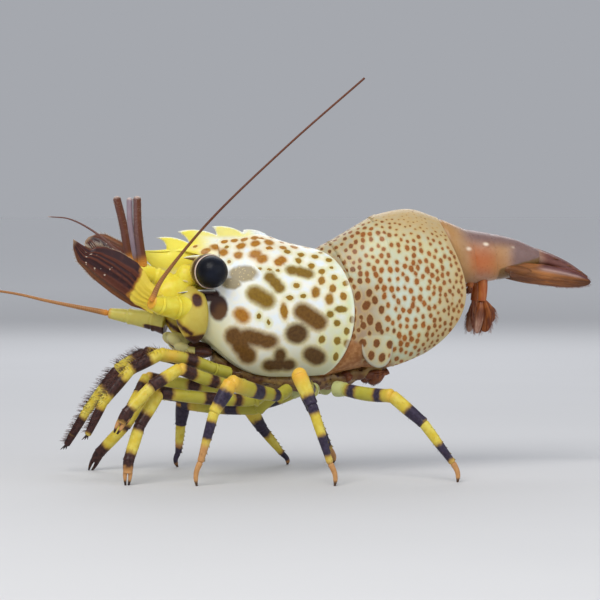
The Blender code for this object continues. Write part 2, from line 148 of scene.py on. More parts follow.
class Shape:
    """A mesh being gathered: closed shells of points, faces and named values at the points."""

    def __init__(self):
        """Starts with no points."""
        self.points, self.faces, self.values, self.count = [], [], [], 0

    def add(self, points, faces, **values):
        """Adds a closed body with its faces turned outwards, and named values at its points."""
        points = np.asarray(points, float).reshape(-1, 3)
        corners = np.array([face[:3] for face in faces])
        a, b, c = (points[corners[:, i]] - points.mean(0) for i in range(3))
        if (a * np.cross(b, c)).sum() < 0:
            faces = [face[::-1] for face in faces]
        self.points.append(points)
        self.faces += [[i + self.count for i in face] for face in faces]
        self.values.append((len(points), {k: np.asarray(v, float).ravel() for k, v in values.items()}))
        self.count += len(points)

    def sleeve(self, rings, **values):
        """Adds a closed body through rings of points, its two ends closed by fans."""
        rows, cols = rings.shape[:2]
        r, c = np.meshgrid(np.arange(rows - 1), np.arange(cols), indexing="ij")
        near, far = r * cols + c, r * cols + (c + 1) % cols
        quads = np.stack([near, far, far + cols, near + cols], -1).reshape(-1, 4)
        hubs = [rings[0].mean(0), rings[-1].mean(0)]
        first, last = rows * cols, rows * cols + 1
        ring = np.arange(cols)
        after = (ring + 1) % cols
        base = (rows - 1) * cols
        fans = np.concatenate([
            np.stack([after, ring, np.full(cols, first)], -1),
            np.stack([base + ring, base + after, np.full(cols, last)], -1),
        ])
        points = np.vstack([rings.reshape(-1, 3), hubs])
        full = {}
        for key, value in values.items():
            value = np.broadcast_to(value, (rows, cols))
            full[key] = np.concatenate([value.ravel(), [value[0].mean(), value[-1].mean()]])
        self.add(points, quads.tolist() + fans.tolist(), **full)

    def build(self, name, material, slot, replaces=(), patches=None):
        """Makes the object, in metres in the row frame, riding on the body."""
        mesh = bpy.data.meshes.new(name)
        mesh.from_pydata(np.concatenate(self.points) * MM + ORIGIN, [], self.faces)
        for key in sorted({key for _, values in self.values for key in values}):
            column = np.concatenate([values.get(key, np.zeros(count)) for count, values in self.values])
            mesh.attributes.new(key, "FLOAT", "POINT").data.foreach_set("value", column.astype(np.float32))
        if patches is not None:
            corner = np.empty(len(mesh.loops), np.int32)
            mesh.loops.foreach_get("vertex_index", corner)
            uv = mesh.uv_layers.new(name="OFBake")
            uv.data.foreach_set("uv", np.concatenate(patches)[corner].astype(np.float32).ravel())
        mesh.shade_smooth()
        mesh.materials.append(material)
        obj = bpy.data.objects.new(name, mesh)
        bpy.context.scene.collection.objects.link(obj)
        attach(obj, BODY)
        if replaces:
            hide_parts(*replaces)
        return obj


def read_points(obj):
    """The object's points, in millimetres in the animal's frame, and their normals."""
    points = np.empty(len(obj.data.vertices) * 3, np.float32)
    normals = np.empty(len(obj.data.vertices) * 3, np.float32)
    obj.data.vertices.foreach_get("co", points)
    obj.data.vertex_normals.foreach_get("vector", normals)
    return (points.reshape(-1, 3) - ORIGIN) / MM, normals.reshape(-1, 3).astype(float)


def paint(obj, **values):
    """Sets named values at the object's points, for its material to read."""
    for key, column in values.items():
        layer = obj.data.attributes.get(key) or obj.data.attributes.new(key, "FLOAT", "POINT")
        layer.data.foreach_set("value", np.asarray(column, np.float32))


def ball(shape, centre, size, tilt=0.0, rows=24, cols=32, **values):
    """An ellipsoid, tilted about the Y axis by an angle in degrees."""
    polar = np.linspace(0.06, math.pi - 0.06, rows)[:, None]
    turn = np.linspace(0, 2 * math.pi, cols, endpoint=False)[None]
    rings = np.stack([
        np.sin(polar) * np.cos(turn) * size[0],
        np.sin(polar) * np.sin(turn) * size[1],
        np.cos(polar) * np.ones_like(turn) * size[2],
    ], -1)
    c, s = math.cos(math.radians(tilt)), math.sin(math.radians(tilt))
    turned = rings @ np.array([[c, 0, -s], [0, 1, 0], [s, 0, c]])
    shape.sleeve(turned + np.asarray(centre, float), **values)


def spine(shape, root, tip, radius, bend=(0, 0, 0), sides=10, **values):
    """A thorn from root to tip, thick at its root and curved by bend at its middle."""
    root, tip = np.asarray(root, float), np.asarray(tip, float)
    share = np.linspace(0, 1, 9)[:, None]
    path = root + (tip - root) * share + np.asarray(bend, float) * np.sin(math.pi * share)
    shape.sleeve(tube_rings(path, radius * (1 - share[:, 0]) ** 0.8 + 0.03, sides=sides), **values)


# ---------------------------------------------------------------- bristles


class Bristles:
    """Thin tapered bristles gathered into one coat piece, each with its own patch on OFBake."""

    PATCH = 0.003
    SHARES = np.array([0.0, 0.35, 0.7])

    def __init__(self, seed):
        """A coat whose random draws follow from its seed."""
        self.shape, self.patches = Shape(), []
        self.random = np.random.default_rng(seed)

    def add(self, root, way, length, radius, place, droop=(0, 0, 0), tone=0.5):
        """One bristle; place is its root's spot on an unwrap of the skin it grows from, 0 to 1."""
        way = unit(way)
        side = unit(np.cross(way, [0.31, 0.87, 0.38]))
        other = np.cross(way, side)
        turn = np.arange(3) * 2 * math.pi / 3
        rim = np.cos(turn)[:, None] * side + np.sin(turn)[:, None] * other
        rings = [
            root + way * length * s + np.asarray(droop) * length * s**2 + rim * radius * (1 - 0.75 * s)
            for s in self.SHARES
        ]
        tip = root + way * length + np.asarray(droop) * length
        faces = [[2, 1, 0]]
        for row in range(2):
            for i in range(3):
                j = (i + 1) % 3
                faces.append([row * 3 + i, row * 3 + j, row * 3 + 3 + j, row * 3 + 3 + i])
        faces += [[6, 7, 9], [7, 8, 9], [8, 6, 9]]
        self.shape.add(np.vstack([*rings, tip]), faces, along=[0, 0, 0, .35, .35, .35, .7, .7, .7, 1],
                       tone=np.full(10, tone))
        corner = np.stack([np.cos(turn), np.sin(turn)], -1) * self.PATCH / 2
        patch = [corner, corner * 0.66, corner * 0.33, np.zeros((1, 2))]
        self.patches.append(np.vstack(patch) + 0.01 + 0.98 * np.clip(place, 0, 1))

    def build(self, name, material, slot):
        """Makes the coat's object, with its patches as the OFBake layout."""
        return self.shape.build(name, material, slot, patches=self.patches)


# ---------------------------------------------------------------- materials


class Finish:
    """A procedural material, written as short steps."""

    def __init__(self, name, roughness=0.35, coat=0.0, scatter=0.0, depth=0.6):
        """A new material; scatter lets light into it, to a depth in millimetres."""
        self.material = bpy.data.materials.new(name)
        self.material.use_nodes = True
        self.tree = self.material.node_tree
        self.shader = self.tree.nodes["Principled BSDF"]
        self.shader.inputs["Roughness"].default_value = roughness
        self.shader.inputs["Specular IOR Level"].default_value = 0.25
        self.shader.inputs["Coat Weight"].default_value = coat
        self.shader.inputs["Coat Roughness"].default_value = 0.14
        if scatter:
            self.shader.inputs["Subsurface Weight"].default_value = scatter
            self.shader.inputs["Subsurface Radius"].default_value = (1.0, 0.6, 0.35)
            self.shader.inputs["Subsurface Scale"].default_value = depth * MM
        self.where = self.tree.nodes.new("ShaderNodeTexCoord").outputs["Object"]

    def link(self, source, socket):
        """Feeds a socket from another socket, a colour or a number."""
        if isinstance(source, bpy.types.NodeSocket):
            self.tree.links.new(source, socket)
        elif isinstance(source, tuple):
            socket.default_value = (*source, 1.0)[: len(socket.default_value)]
        else:
            socket.default_value = source

    def value(self, name):
        """The named value that is painted on the mesh."""
        node = self.tree.nodes.new("ShaderNodeAttribute")
        node.attribute_name = name
        return node.outputs["Fac"]

    def math(self, operation, *inputs):
        """One step of arithmetic."""
        node = self.tree.nodes.new("ShaderNodeMath")
        node.operation = operation
        for source, socket in zip(inputs, node.inputs):
            self.link(source, socket)
        return node.outputs[0]

    def mix(self, share, first, second):
        """The first colour where share is 0, the second where it is 1."""
        node = self.tree.nodes.new("ShaderNodeMix")
        node.data_type = "RGBA"
        self.link(share, node.inputs["Factor"])
        self.link(first, node.inputs[6])
        self.link(second, node.inputs[7])
        return node.outputs[2]

    def ease(self, value, low, high, start=0.0, end=1.0):
        """A smooth change from start to end while the value goes from low to high."""
        node = self.tree.nodes.new("ShaderNodeMapRange")
        node.interpolation_type = "SMOOTHSTEP"
        for source, socket in zip((value, low, high, start, end), node.inputs):
            self.link(source, socket)
        return node.outputs["Result"]

    def noise(self, size, detail=3.0, stretch=None):
        """Noise with features about size millimetres wide."""
        node = self.tree.nodes.new("ShaderNodeTexNoise")
        where = self.where
        if stretch:
            mapping = self.tree.nodes.new("ShaderNodeMapping")
            mapping.inputs["Scale"].default_value = stretch
            self.link(where, mapping.inputs["Vector"])
            where = mapping.outputs["Vector"]
        self.link(where, node.inputs["Vector"])
        node.inputs["Scale"].default_value = 1 / (size * MM)
        node.inputs["Detail"].default_value = detail
        return node.outputs["Fac"]

    def wobbled(self, value, size, amount, detail=3.0):
        """The value plus noise that wanders by amount either way."""
        shift = self.math("MULTIPLY", self.math("SUBTRACT", self.noise(size, detail), 0.5), 2 * amount)
        return self.math("ADD", value, shift)

    def cells(self, size, feature="F1"):
        """Distances in a pattern of cells about size millimetres wide."""
        node = self.tree.nodes.new("ShaderNodeTexVoronoi")
        node.feature = feature
        self.link(self.where, node.inputs["Vector"])
        node.inputs["Scale"].default_value = 1 / (size * MM)
        return node.outputs["Distance"]

    def set(self, socket, source):
        """Feeds one input of the shader."""
        self.link(source, self.shader.inputs[socket])

    def bump(self, height, distance):
        """Adds relief of a depth in millimetres to the relief that is there."""
        node = self.tree.nodes.new("ShaderNodeBump")
        node.inputs["Strength"].default_value = 0.6
        node.inputs["Distance"].default_value = distance * MM
        self.link(height, node.inputs["Height"])
        before = self.shader.inputs["Normal"]
        if before.is_linked:
            self.link(before.links[0].from_socket, node.inputs["Normal"])
        self.link(node.outputs["Normal"], before)

    def patches(self, size, low, high, first, second, detail=3.0):
        """Two colours in soft patches about size millimetres wide."""
        return self.mix(self.ease(self.noise(size, detail), low, high), first, second)

    def tint(self, base, **colours):
        """Lays a colour over the base for each named value in turn."""
        for name, colour in colours.items():
            base = self.mix(self.value(name), base, colour)
        return base

    def grained(self, colour, low, high, size):
        """The finished material: its colour, and a roughness from low to high over fine pits."""
        self.set("Base Color", colour)
        self.set("Roughness", self.ease(self.noise(size), 0.3, 0.7, low, high))
        self.bump(self.noise(size * 0.5), 0.03)
        return self.material


def carapace_finish():
    """White shell, yellow towards the face, with brown blotches and orange spots."""
    f = Finish("carapace_finish", coat=0.08, scatter=0.10, depth=0.5)
    base = f.patches(1.1, 0.35, 0.7, (0.85, 0.85, 0.76), (0.77, 0.83, 0.88))
    # Cream low on the flanks and on the cheeks, its colour darkened as painted shade.
    base = f.tint(base, cream=(0.49, 0.47, 0.29), yellow=(0.87, 0.77, 0.10))
    green = f.math("MULTIPLY", f.value("green"), f.ease(f.noise(1.8), 0.3, 0.7))
    base = f.mix(green, base, (0.56, 0.66, 0.34))
    edge = f.wobbled(f.value("spot"), 0.5, 0.14)
    halo = f.mix(f.value("olive"), (0.78, 0.62, 0.32), (0.66, 0.63, 0.26))
    base = f.mix(f.ease(edge, -0.45, 0.02, 0.0, 0.7), base, halo)
    grain = f.ease(f.noise(0.35, 5.0), 0.3, 0.75)
    orange = f.mix(grain, (0.50, 0.22, 0.022), (0.38, 0.14, 0.012))
    olive = f.mix(grain, (0.33, 0.22, 0.016), (0.27, 0.165, 0.012))
    dark = f.mix(grain, (0.070, 0.031, 0.008), (0.040, 0.017, 0.005))
    soft = f.math("MULTIPLY", f.value("blur"), 0.42)
    inside = f.ease(edge, f.math("MULTIPLY", soft, -1.0), f.math("ADD", soft, 0.10))
    marked = f.mix(f.value("tone"), f.mix(f.value("olive"), orange, olive), dark)
    base = f.mix(inside, base, marked)
    gold = f.mix(f.ease(f.cells(0.42), 0.08, 0.30), (0.58, 0.44, 0.17), (0.27, 0.20, 0.075))
    base = f.mix(f.ease(f.wobbled(f.value("gold"), 0.7, 0.3, 4.0), 0.1, 0.9, 0.0, 0.9), base, gold)
    # black: dark blotches behind the feeler bases, and painted shade under the spines beside them.
    night = f.mix(f.value("warm"), (0.040, 0.016, 0.012), (0.105, 0.046, 0.016))
    base = f.mix(f.ease(f.wobbled(f.value("black"), 0.6, 0.12), 0.15, 0.8), base, night)
    # brown is painted shade under the spines over the eyes. pale is the white of the rostrum's edges, its
    # teeth and the rear rim, and painted light along the tops of the face spines.
    base = f.tint(base, brown=(0.17, 0.095, 0.055), pale=(0.84, 0.85, 0.74))
    return f.grained(base, 0.28, 0.42, 0.6)


def abdomen_finish():
    """Cream and blue-white plates with close orange-brown dots, tan over the hump."""
    f = Finish("abdomen_finish", coat=0.08, scatter=0.12, depth=0.5)
    base = f.patches(1.6, 0.35, 0.68, (0.58, 0.54, 0.30), (0.52, 0.56, 0.40))
    base = f.tint(base, blue=(0.58, 0.66, 0.60))
    tan = f.mix(f.noise(0.9), (0.44, 0.29, 0.13), (0.52, 0.38, 0.20))
    base = f.tint(base, tan=tan, mauve=f.mix(f.noise(0.8), (0.31, 0.20, 0.115), (0.41, 0.30, 0.21)))
    edge = f.wobbled(f.value("spot"), 0.35, 0.11)
    base = f.mix(f.ease(edge, -0.26, 0.03, 0.0, 0.55), base, (0.54, 0.36, 0.12))
    grain = f.ease(f.noise(0.3, 5.0), 0.3, 0.7)
    light = f.mix(grain, (0.38, 0.125, 0.016), (0.28, 0.085, 0.011))
    dark = f.mix(grain, (0.150, 0.056, 0.014), (0.095, 0.034, 0.010))
    base = f.mix(f.ease(edge, -0.05, 0.12), base, f.mix(f.value("tone"), light, dark))
    skin = f.patches(0.7, 0.35, 0.7, (0.29, 0.115, 0.035), (0.44, 0.215, 0.085), 4.0)
    base = f.tint(base, skin=skin, pale=(0.52, 0.50, 0.40))
    return f.grained(base, 0.3, 0.46, 0.45)


def tail_finish():
    """Thin plates of the tail: mauve-brown over the orange flesh inside, olive-brown along the bottom."""
    f = Finish("tail_finish", coat=0.16, scatter=0.22, depth=1.0)
    base = f.patches(2.0, 0.35, 0.65, (0.32, 0.19, 0.12), (0.42, 0.28, 0.20))
    base = f.tint(base, flesh=f.mix(f.noise(1.0), (0.40, 0.082, 0.018), (0.50, 0.16, 0.040)))
    speck = f.ease(f.cells(0.6), 0.10, 0.26, 0.55, 0.0)
    base = f.mix(f.math("MULTIPLY", speck, f.noise(2.0)), base, (0.22, 0.070, 0.020))
    base = f.tint(
        base, tan=f.mix(f.noise(0.9), (0.37, 0.185, 0.060), (0.46, 0.26, 0.095)),
        mauve=f.mix(f.noise(0.8), (0.15, 0.085, 0.078), (0.24, 0.15, 0.14)),
    )
    base = f.mix(f.ease(f.wobbled(f.value("dark"), 0.9, 0.16), 0.3, 0.7), base, (0.17, 0.085, 0.022))
    # The pale here is the painted highlight of the tail's glints.
    base = f.tint(base, pale=(0.86, 0.72, 0.56))
    return f.grained(base, 0.26, 0.42, 0.5)


def fan_finish():
    """Tail fan blades: maroon above, brown with an orange streak below, ribbed."""
    f = Finish("fan_finish", coat=0.12, scatter=0.15, depth=0.6)
    streak = f.ease(f.noise(0.8, 4.0, (0.25, 1.0, 1.0)), 0.35, 0.68)
    base = f.mix(streak, (0.125, 0.040, 0.010), (0.30, 0.105, 0.020))
    base = f.tint(
        base, maroon=f.mix(streak, (0.085, 0.026, 0.028), (0.170, 0.062, 0.062)),
        flesh=f.mix(streak, (0.36, 0.19, 0.11), (0.46, 0.30, 0.20)), orange=(0.41, 0.165, 0.050),
        pale=(0.48, 0.32, 0.29), dark=(0.060, 0.018, 0.006),
    )
    f.bump(f.value("rib"), 0.10)
    return f.grained(base, 0.28, 0.46, 0.4)


def face_finish():
    """Bright yellow shell of the face and feeler bases, marked with dark brown and darkened in places by
    painted shade.
    """
    f = Finish("face_finish", coat=0.08, scatter=0.15, depth=0.6)
    base = f.patches(1.1, 0.3, 0.7, (0.76, 0.60, 0.032), (0.81, 0.71, 0.08))
    base = f.tint(
        base, green=f.mix(f.noise(0.9), (0.36, 0.32, 0.060), (0.52, 0.49, 0.14)), pale=(0.84, 0.80, 0.52),
        warm=(0.66, 0.28, 0.035),
    )
    # The dark brown marks, and painted shade on the far antenna stems' undersides and on the rear mouth
    # lobes.
    mark = f.wobbled(f.value("mark"), 0.5, 0.12)
    base = f.mix(f.ease(mark, -0.4, 0.1, 0.0, 0.65), base, (0.40, 0.18, 0.02))
    dark = f.patches(0.3, 0.3, 0.7, (0.045, 0.016, 0.014), (0.085, 0.028, 0.014), 5.0)
    base = f.mix(f.ease(mark, -0.12, 0.22), base, dark)
    return f.grained(base, 0.30, 0.46, 0.5)


def eye_finish():
    """Blue-black cornea under a thin clear coat, with a fine net of facets."""
    f = Finish("eye_finish", roughness=0.34, coat=0.09)
    f.shader.inputs["Specular IOR Level"].default_value = 0.14
    f.shader.inputs["Coat Roughness"].default_value = 0.10
    facets = f.cells(0.085, "DISTANCE_TO_EDGE")
    base = f.patches(1.6, 0.35, 0.7, (0.0025, 0.003, 0.006), (0.005, 0.007, 0.016))
    base = f.mix(f.ease(facets, 0.0, 0.12, 0.3, 0.0), base, (0.010, 0.014, 0.026))
    f.set("Base Color", base)
    f.set("Roughness", f.ease(f.noise(0.7), 0.3, 0.7, 0.28, 0.38))
    f.bump(f.ease(facets, 0.0, 0.12), 0.006)
    return f.material


def stalk_finish():
    """Eyestalk: yellow at its root, then dark brown, with a pinkish-white rim at the cornea."""
    f = Finish("stalk_finish", coat=0.12, scatter=0.12, depth=0.5)
    along = f.wobbled(f.value("along"), 0.6, 0.02)
    base = f.mix(f.ease(along, 0.40, 0.60), (0.80, 0.64, 0.06), (0.50, 0.36, 0.12))
    base = f.mix(f.ease(along, 0.66, 0.76), base, (0.060, 0.022, 0.012))
    base = f.mix(f.ease(along, 0.905, 0.93), base, (0.70, 0.54, 0.44))
    return f.grained(base, 0.24, 0.4, 0.4)


def feeler_finish():
    """Dark red-brown feelers, orange where they start, faintly ringed."""
    f = Finish("feeler_finish", coat=0.06, scatter=0.08, depth=0.3)
    ring = f.ease(f.math("SINE", f.value("ring")), -0.2, 0.9)
    deep = f.mix(f.noise(1.4), (0.075, 0.018, 0.007), (0.150, 0.042, 0.013))
    base = f.mix(f.value("light"), deep, f.mix(f.noise(1.8), (0.30, 0.115, 0.035), (0.42, 0.19, 0.06)))
    ringed = f.mix(f.value("light"), (0.16, 0.05, 0.022), (0.56, 0.33, 0.13))
    base = f.mix(f.math("MULTIPLY", ring, 0.35), base, ringed)
    # The grey-purple here is a painted sheen on the outer antennules, and an even tint on the inner ones.
    base = f.tint(
        base, stripe=f.mix(f.noise(1.5), (0.22, 0.16, 0.20), (0.38, 0.30, 0.34)), root=(0.74, 0.30, 0.035),
        pale=(0.62, 0.50, 0.44),
    )
    return f.grained(base, 0.3, 0.48, 0.3)


def scale_finish():
    """Antennal scale: yellow root, then a dark red-brown blade with ribs and pale dots."""
    f = Finish("scale_finish", coat=0.08, scatter=0.12, depth=0.5)
    streak = f.ease(f.value("streak"), 0.3, 0.75)
    deep = f.mix(streak, (0.032, 0.008, 0.009), (0.105, 0.026, 0.013))
    deep = f.patches(0.9, 0.5, 0.75, deep, (0.060, 0.015, 0.013))
    base = f.mix(f.value("edge"), deep, f.mix(f.noise(0.7), (0.30, 0.115, 0.028), (0.17, 0.052, 0.018)))
    base = f.tint(base, pale=(0.62, 0.42, 0.26))
    dots = f.mix(f.noise(2.0), (0.62, 0.44, 0.24), (0.55, 0.50, 0.50))
    base = f.mix(f.ease(f.value("dots"), -0.03, 0.03), base, dots)
    root = f.wobbled(f.value("root"), 0.8, 0.7, 4.0)
    base = f.mix(f.ease(root, -0.5, 0.0), base, (0.36, 0.14, 0.02))
    yellow = f.mix(f.noise(1.0), (0.80, 0.60, 0.05), (0.86, 0.70, 0.10))
    base = f.mix(f.ease(root, -0.1, 0.5), base, yellow)
    f.bump(f.value("streak"), 0.12)
    return f.grained(base, 0.28, 0.46, 0.35)


def leg_finish():
    """Legs: yellow and olive with dark purple-brown bands, orange knees and pink toes."""
    f = Finish("leg_finish", coat=0.06, scatter=0.12, depth=0.5)
    base = f.patches(0.9, 0.3, 0.7, (0.64, 0.48, 0.040), (0.70, 0.59, 0.11))
    green = f.mix(f.noise(1.2), (0.33, 0.32, 0.035), (0.47, 0.43, 0.06))
    base = f.tint(
        base, green=green, pale=(0.50, 0.54, 0.26),
        warm=f.mix(f.noise(0.7), (0.74, 0.37, 0.030), (0.78, 0.50, 0.07)),
        pink=f.mix(f.noise(0.5), (0.42, 0.17, 0.07), (0.60, 0.31, 0.14)),
    )
    # The legs' dark bands; those just below the carapace are partly painted shade.
    band = f.wobbled(f.value("band"), 0.7, 0.36, 4.0)
    base = f.mix(f.ease(band, -0.55, 0.05, 0.0, 0.75), base, (0.30, 0.135, 0.034))
    grain = f.ease(f.noise(0.4, 5.0), 0.3, 0.7)
    dark = f.mix(grain, (0.024, 0.009, 0.009), (0.068, 0.024, 0.019))
    dark = f.mix(f.value("cool"), dark, f.mix(grain, (0.022, 0.015, 0.032), (0.046, 0.034, 0.066)))
    base = f.mix(f.ease(band, -0.20, 0.28), base, dark)
    base = f.tint(base, claw=(0.028, 0.012, 0.010))
    return f.grained(base, 0.3, 0.48, 0.35)


def swimmeret_finish():
    """Swimmerets: streaked dark red, fleshy orange-red at their stalks."""
    f = Finish("swimmeret_finish", coat=0.16, scatter=0.15, depth=0.6)
    streak = f.ease(f.noise(0.5, 4.0, (1.0, 1.0, 0.35)), 0.32, 0.7)
    base = f.mix(streak, (0.115, 0.026, 0.008), (0.29, 0.090, 0.020))
    base = f.tint(
        base, flesh=f.mix(streak, (0.34, 0.080, 0.018), (0.44, 0.145, 0.038)), dark=(0.065, 0.017, 0.012),
        pale=f.mix(streak, (0.34, 0.16, 0.10), (0.58, 0.40, 0.32)),
    )
    return f.grained(base, 0.28, 0.46, 0.35)


def skin_finish():
    """Soft skin under the shell: dark brown, olive in places, moist."""
    f = Finish("skin_finish", coat=0.2, scatter=0.15, depth=0.8)
    base = f.patches(1.5, 0.3, 0.7, (0.13, 0.050, 0.020), (0.30, 0.19, 0.06))
    base = f.patches(0.7, 0.5, 0.66, base, (0.060, 0.020, 0.012), 4.0)
    return f.grained(base, 0.26, 0.46, 0.5)


def bristle_finish(name, root, tip):
    """Bristles that change colour from root to tip, some of them darker."""
    f = Finish(name, roughness=0.45)
    mixed = f.mix(f.ease(f.value("along"), 0.2, 1.0), root, tip)
    f.set("Base Color", f.mix(f.math("MULTIPLY", f.value("tone"), 0.6), mixed, tuple(0.45 * c for c in root)))
    f.set("Roughness", f.ease(f.noise(0.4), 0.3, 0.7, 0.38, 0.55))
    return f.material


CARAPACE_FINISH = carapace_finish()
ABDOMEN_FINISH = abdomen_finish()
TAIL_FINISH = tail_finish()
FAN_FINISH = fan_finish()
FACE_FINISH = face_finish()
EYE_FINISH = eye_finish()
STALK_FINISH = stalk_finish()
FEELER_FINISH = feeler_finish()
SCALE_FINISH = scale_finish()
LEG_FINISH = leg_finish()
SWIMMERET_FINISH = swimmeret_finish()
SKIN_FINISH = skin_finish()
DARK_BRISTLES = bristle_finish("dark_bristles", (0.055, 0.018, 0.020), (0.16, 0.06, 0.05))
PALE_BRISTLES = bristle_finish("pale_bristles", (0.52, 0.36, 0.22), (0.78, 0.70, 0.58))
RED_BRISTLES = bristle_finish("red_bristles", (0.20, 0.05, 0.022), (0.42, 0.19, 0.11))
BRUSH_BRISTLES = bristle_finish("brush_bristles", (0.085, 0.024, 0.018), (0.24, 0.075, 0.045))


# ---------------------------------------------------------------- body plates

# How far down a cross-section is widest, and how much of its half width the belly's groove takes.
WIDEST = 0.56
GROOVE_REACH = 0.62

# Named values where a part has no mark, no band, no spot and no rear edge near.
UNMARKED = -2.0
UNBANDED = -3.0
UNSPOTTED = -3.0
NO_EDGE = 9.0


def section(top, low, width, bow=0.0, bow_at=0.5, groove=0.0, upper=2.1, lower=2.7, fullness=0.85):
    """A cross-section of the body, as the solids have it: back point, belly point, half width.

    bow moves the flank along X, most at the height share bow_at; a lower fullness spreads the
    bow over more of the height.
    """
    return np.array([*top, *low, width, bow, bow_at, groove, upper, lower, fullness])


def ring(numbers, turn):
    """Points round a cross-section; turn is 0 at the back and half a turn at the belly."""
    top_x, top_z, low_x, low_z, width, bow, bow_at, groove, upper, lower, fullness = numbers
    across, along = np.sin(turn), np.cos(turn)
    power = 2 / np.where(along > 0, upper, lower)
    y = np.copysign(np.abs(across) ** power, across) * width
    reach = np.abs(along) ** power
    share = np.where(along > 0, WIDEST * (1 - reach), WIDEST + (1 - WIDEST) * reach)
    groove_half = GROOVE_REACH * width
    depth = groove * np.cos(math.pi * y / (2 * groove_half)) ** 2 / (top_z - low_z)
    share = share - np.where((along < 0) & (np.abs(y) < groove_half), depth, 0)
    skew = math.log(0.5) / math.log(bow_at)
    swell = np.sin(math.pi * np.clip(share, 0, 1) ** skew)
    bowed = bow * swell * (swell**2 + 0.01) ** ((fullness - 1) / 2)
    x = top_x + (low_x - top_x) * share + bowed
    return np.stack([x, y, top_z + (low_z - top_z) * share], -1)


def lofted(sections, rows, cols):
    """Rings of points along a smooth run of cross-sections."""
    turn = np.linspace(0, 2 * math.pi, cols, endpoint=False)
    return np.array([ring(numbers, turn) for numbers in smooth_path(sections, rows)])


def inset(points, depth, dx):
    """The ring drawn in towards its own middle by depth and moved along X."""
    middle = points.mean(0)
    outwards = points - middle
    outwards[:, 0] = 0
    return points - unit(outwards) * depth + np.array([dx, 0, 0])


def plate(shape, outer, tuck=1.1, deep=2.0):
    """A shell plate: its front slips under the plate before it, its rear edge is a rounded lip."""
    rows = len(outer)
    sunk = 0.06 * (1 - smooth_step(np.arange(rows), 0, max(3, rows * 0.16)))
    body = np.array([inset(points, depth, 0) for points, depth in zip(outer, sunk)])
    front = [
        inset(outer[0], depth, dx)
        for depth, dx in ((deep, deep * 0.7), (0.45, -tuck * 0.8), (0.22, -tuck * 0.4))
    ]
    rear = [
        inset(outer[-1], depth, dx)
        for depth, dx in (
            (0.02, 0.04), (0.07, 0.07), (0.13, 0.05), (0.19, -0.06), (0.4, -0.7), (deep, -deep),
        )
    ]
    rings = np.array([*front, *body, *rear])
    along = distance_along(body)
    length = along[-1]
    cols = body.shape[1]
    rear_gap = np.vstack([
        np.broadcast_to(length, (3, cols)), length - along, np.zeros((5, cols)), np.full((1, cols), -3.0),
    ])
    shape.sleeve(rings, rear=rear_gap)


SHELL_COLS = 288
CARAPACE_HALF_WIDTH = 6.3
CARAPACE_SECTIONS = [
    section((-8.6, 32.2), (-10.2, 17.4), 4.4, -2.2, 0.70, 0.0, 1.7, 2.6),
    section((-6.4, 32.6), (-6.4, 14.2), 5.4, -1.2, 0.6, 0.0, 1.85),
    section((-3.0, 33.3), (-3.4, 12.9), 6.1, 0.0, 0.5, 0.0, 1.95, 2.7, 0.75),
    section((1.0, 32.1), (0.4, 12.8), 6.35, 2.4, 0.52, 0.0, 2.0, 2.7, 0.6),
    section((4.9, 31.2), (3.6, 13.1), 6.4, 4.95, 0.52, 0.0, 2.1, 2.7, 0.48),
]

# The roof of the rostrum, in front of the carapace: x, height of its ridge, half width.
ROOF = [(-8.6, 32.2, 2.9), (-10.0, 32.15, 2.65), (-11.6, 31.95, 1.85), (-13.2, 31.6, 0.9),
        (-15.0, 31.25, 0.45), (-17.0, 31.05, 0.3), (-19.2, 31.0, 0.1)]
ROOF_DROP, ROOF_VAULT = 2.35, 0.35
ROOF_TURN = math.radians(78)
ORBIT_TURN = math.radians(43)


def roof_ring(x, ridge, half, turn):
    """The carapace's upper arc narrowed to the roof, closed below by a shallow vault."""
    signed = np.where(turn > math.pi, turn - 2 * math.pi, turn)
    share = np.clip(np.abs(signed) / ORBIT_TURN, 0, 1)
    scale = half / ROOF[0][2]
    fall = (1 - np.cos(share * ROOF_TURN) ** 1.1) / (1 - math.cos(ROOF_TURN) ** 1.1)
    y = half * np.sin(share * math.pi / 2) ** 1.05
    under = np.clip((np.abs(signed) - ORBIT_TURN) / (math.pi - ORBIT_TURN), 0, 1)
    y = np.where(under > 0, half * np.cos(under * math.pi / 2), y)
    z = ridge - scale * (ROOF_DROP * fall - ROOF_VAULT * np.sin(under * math.pi / 2))
    return np.stack([np.full_like(y, x), np.copysign(y, signed), z], -1)


# How much larger the marks are painted than their named sizes, since their edges fade.
BLOTCH_GROWTH = 1.05

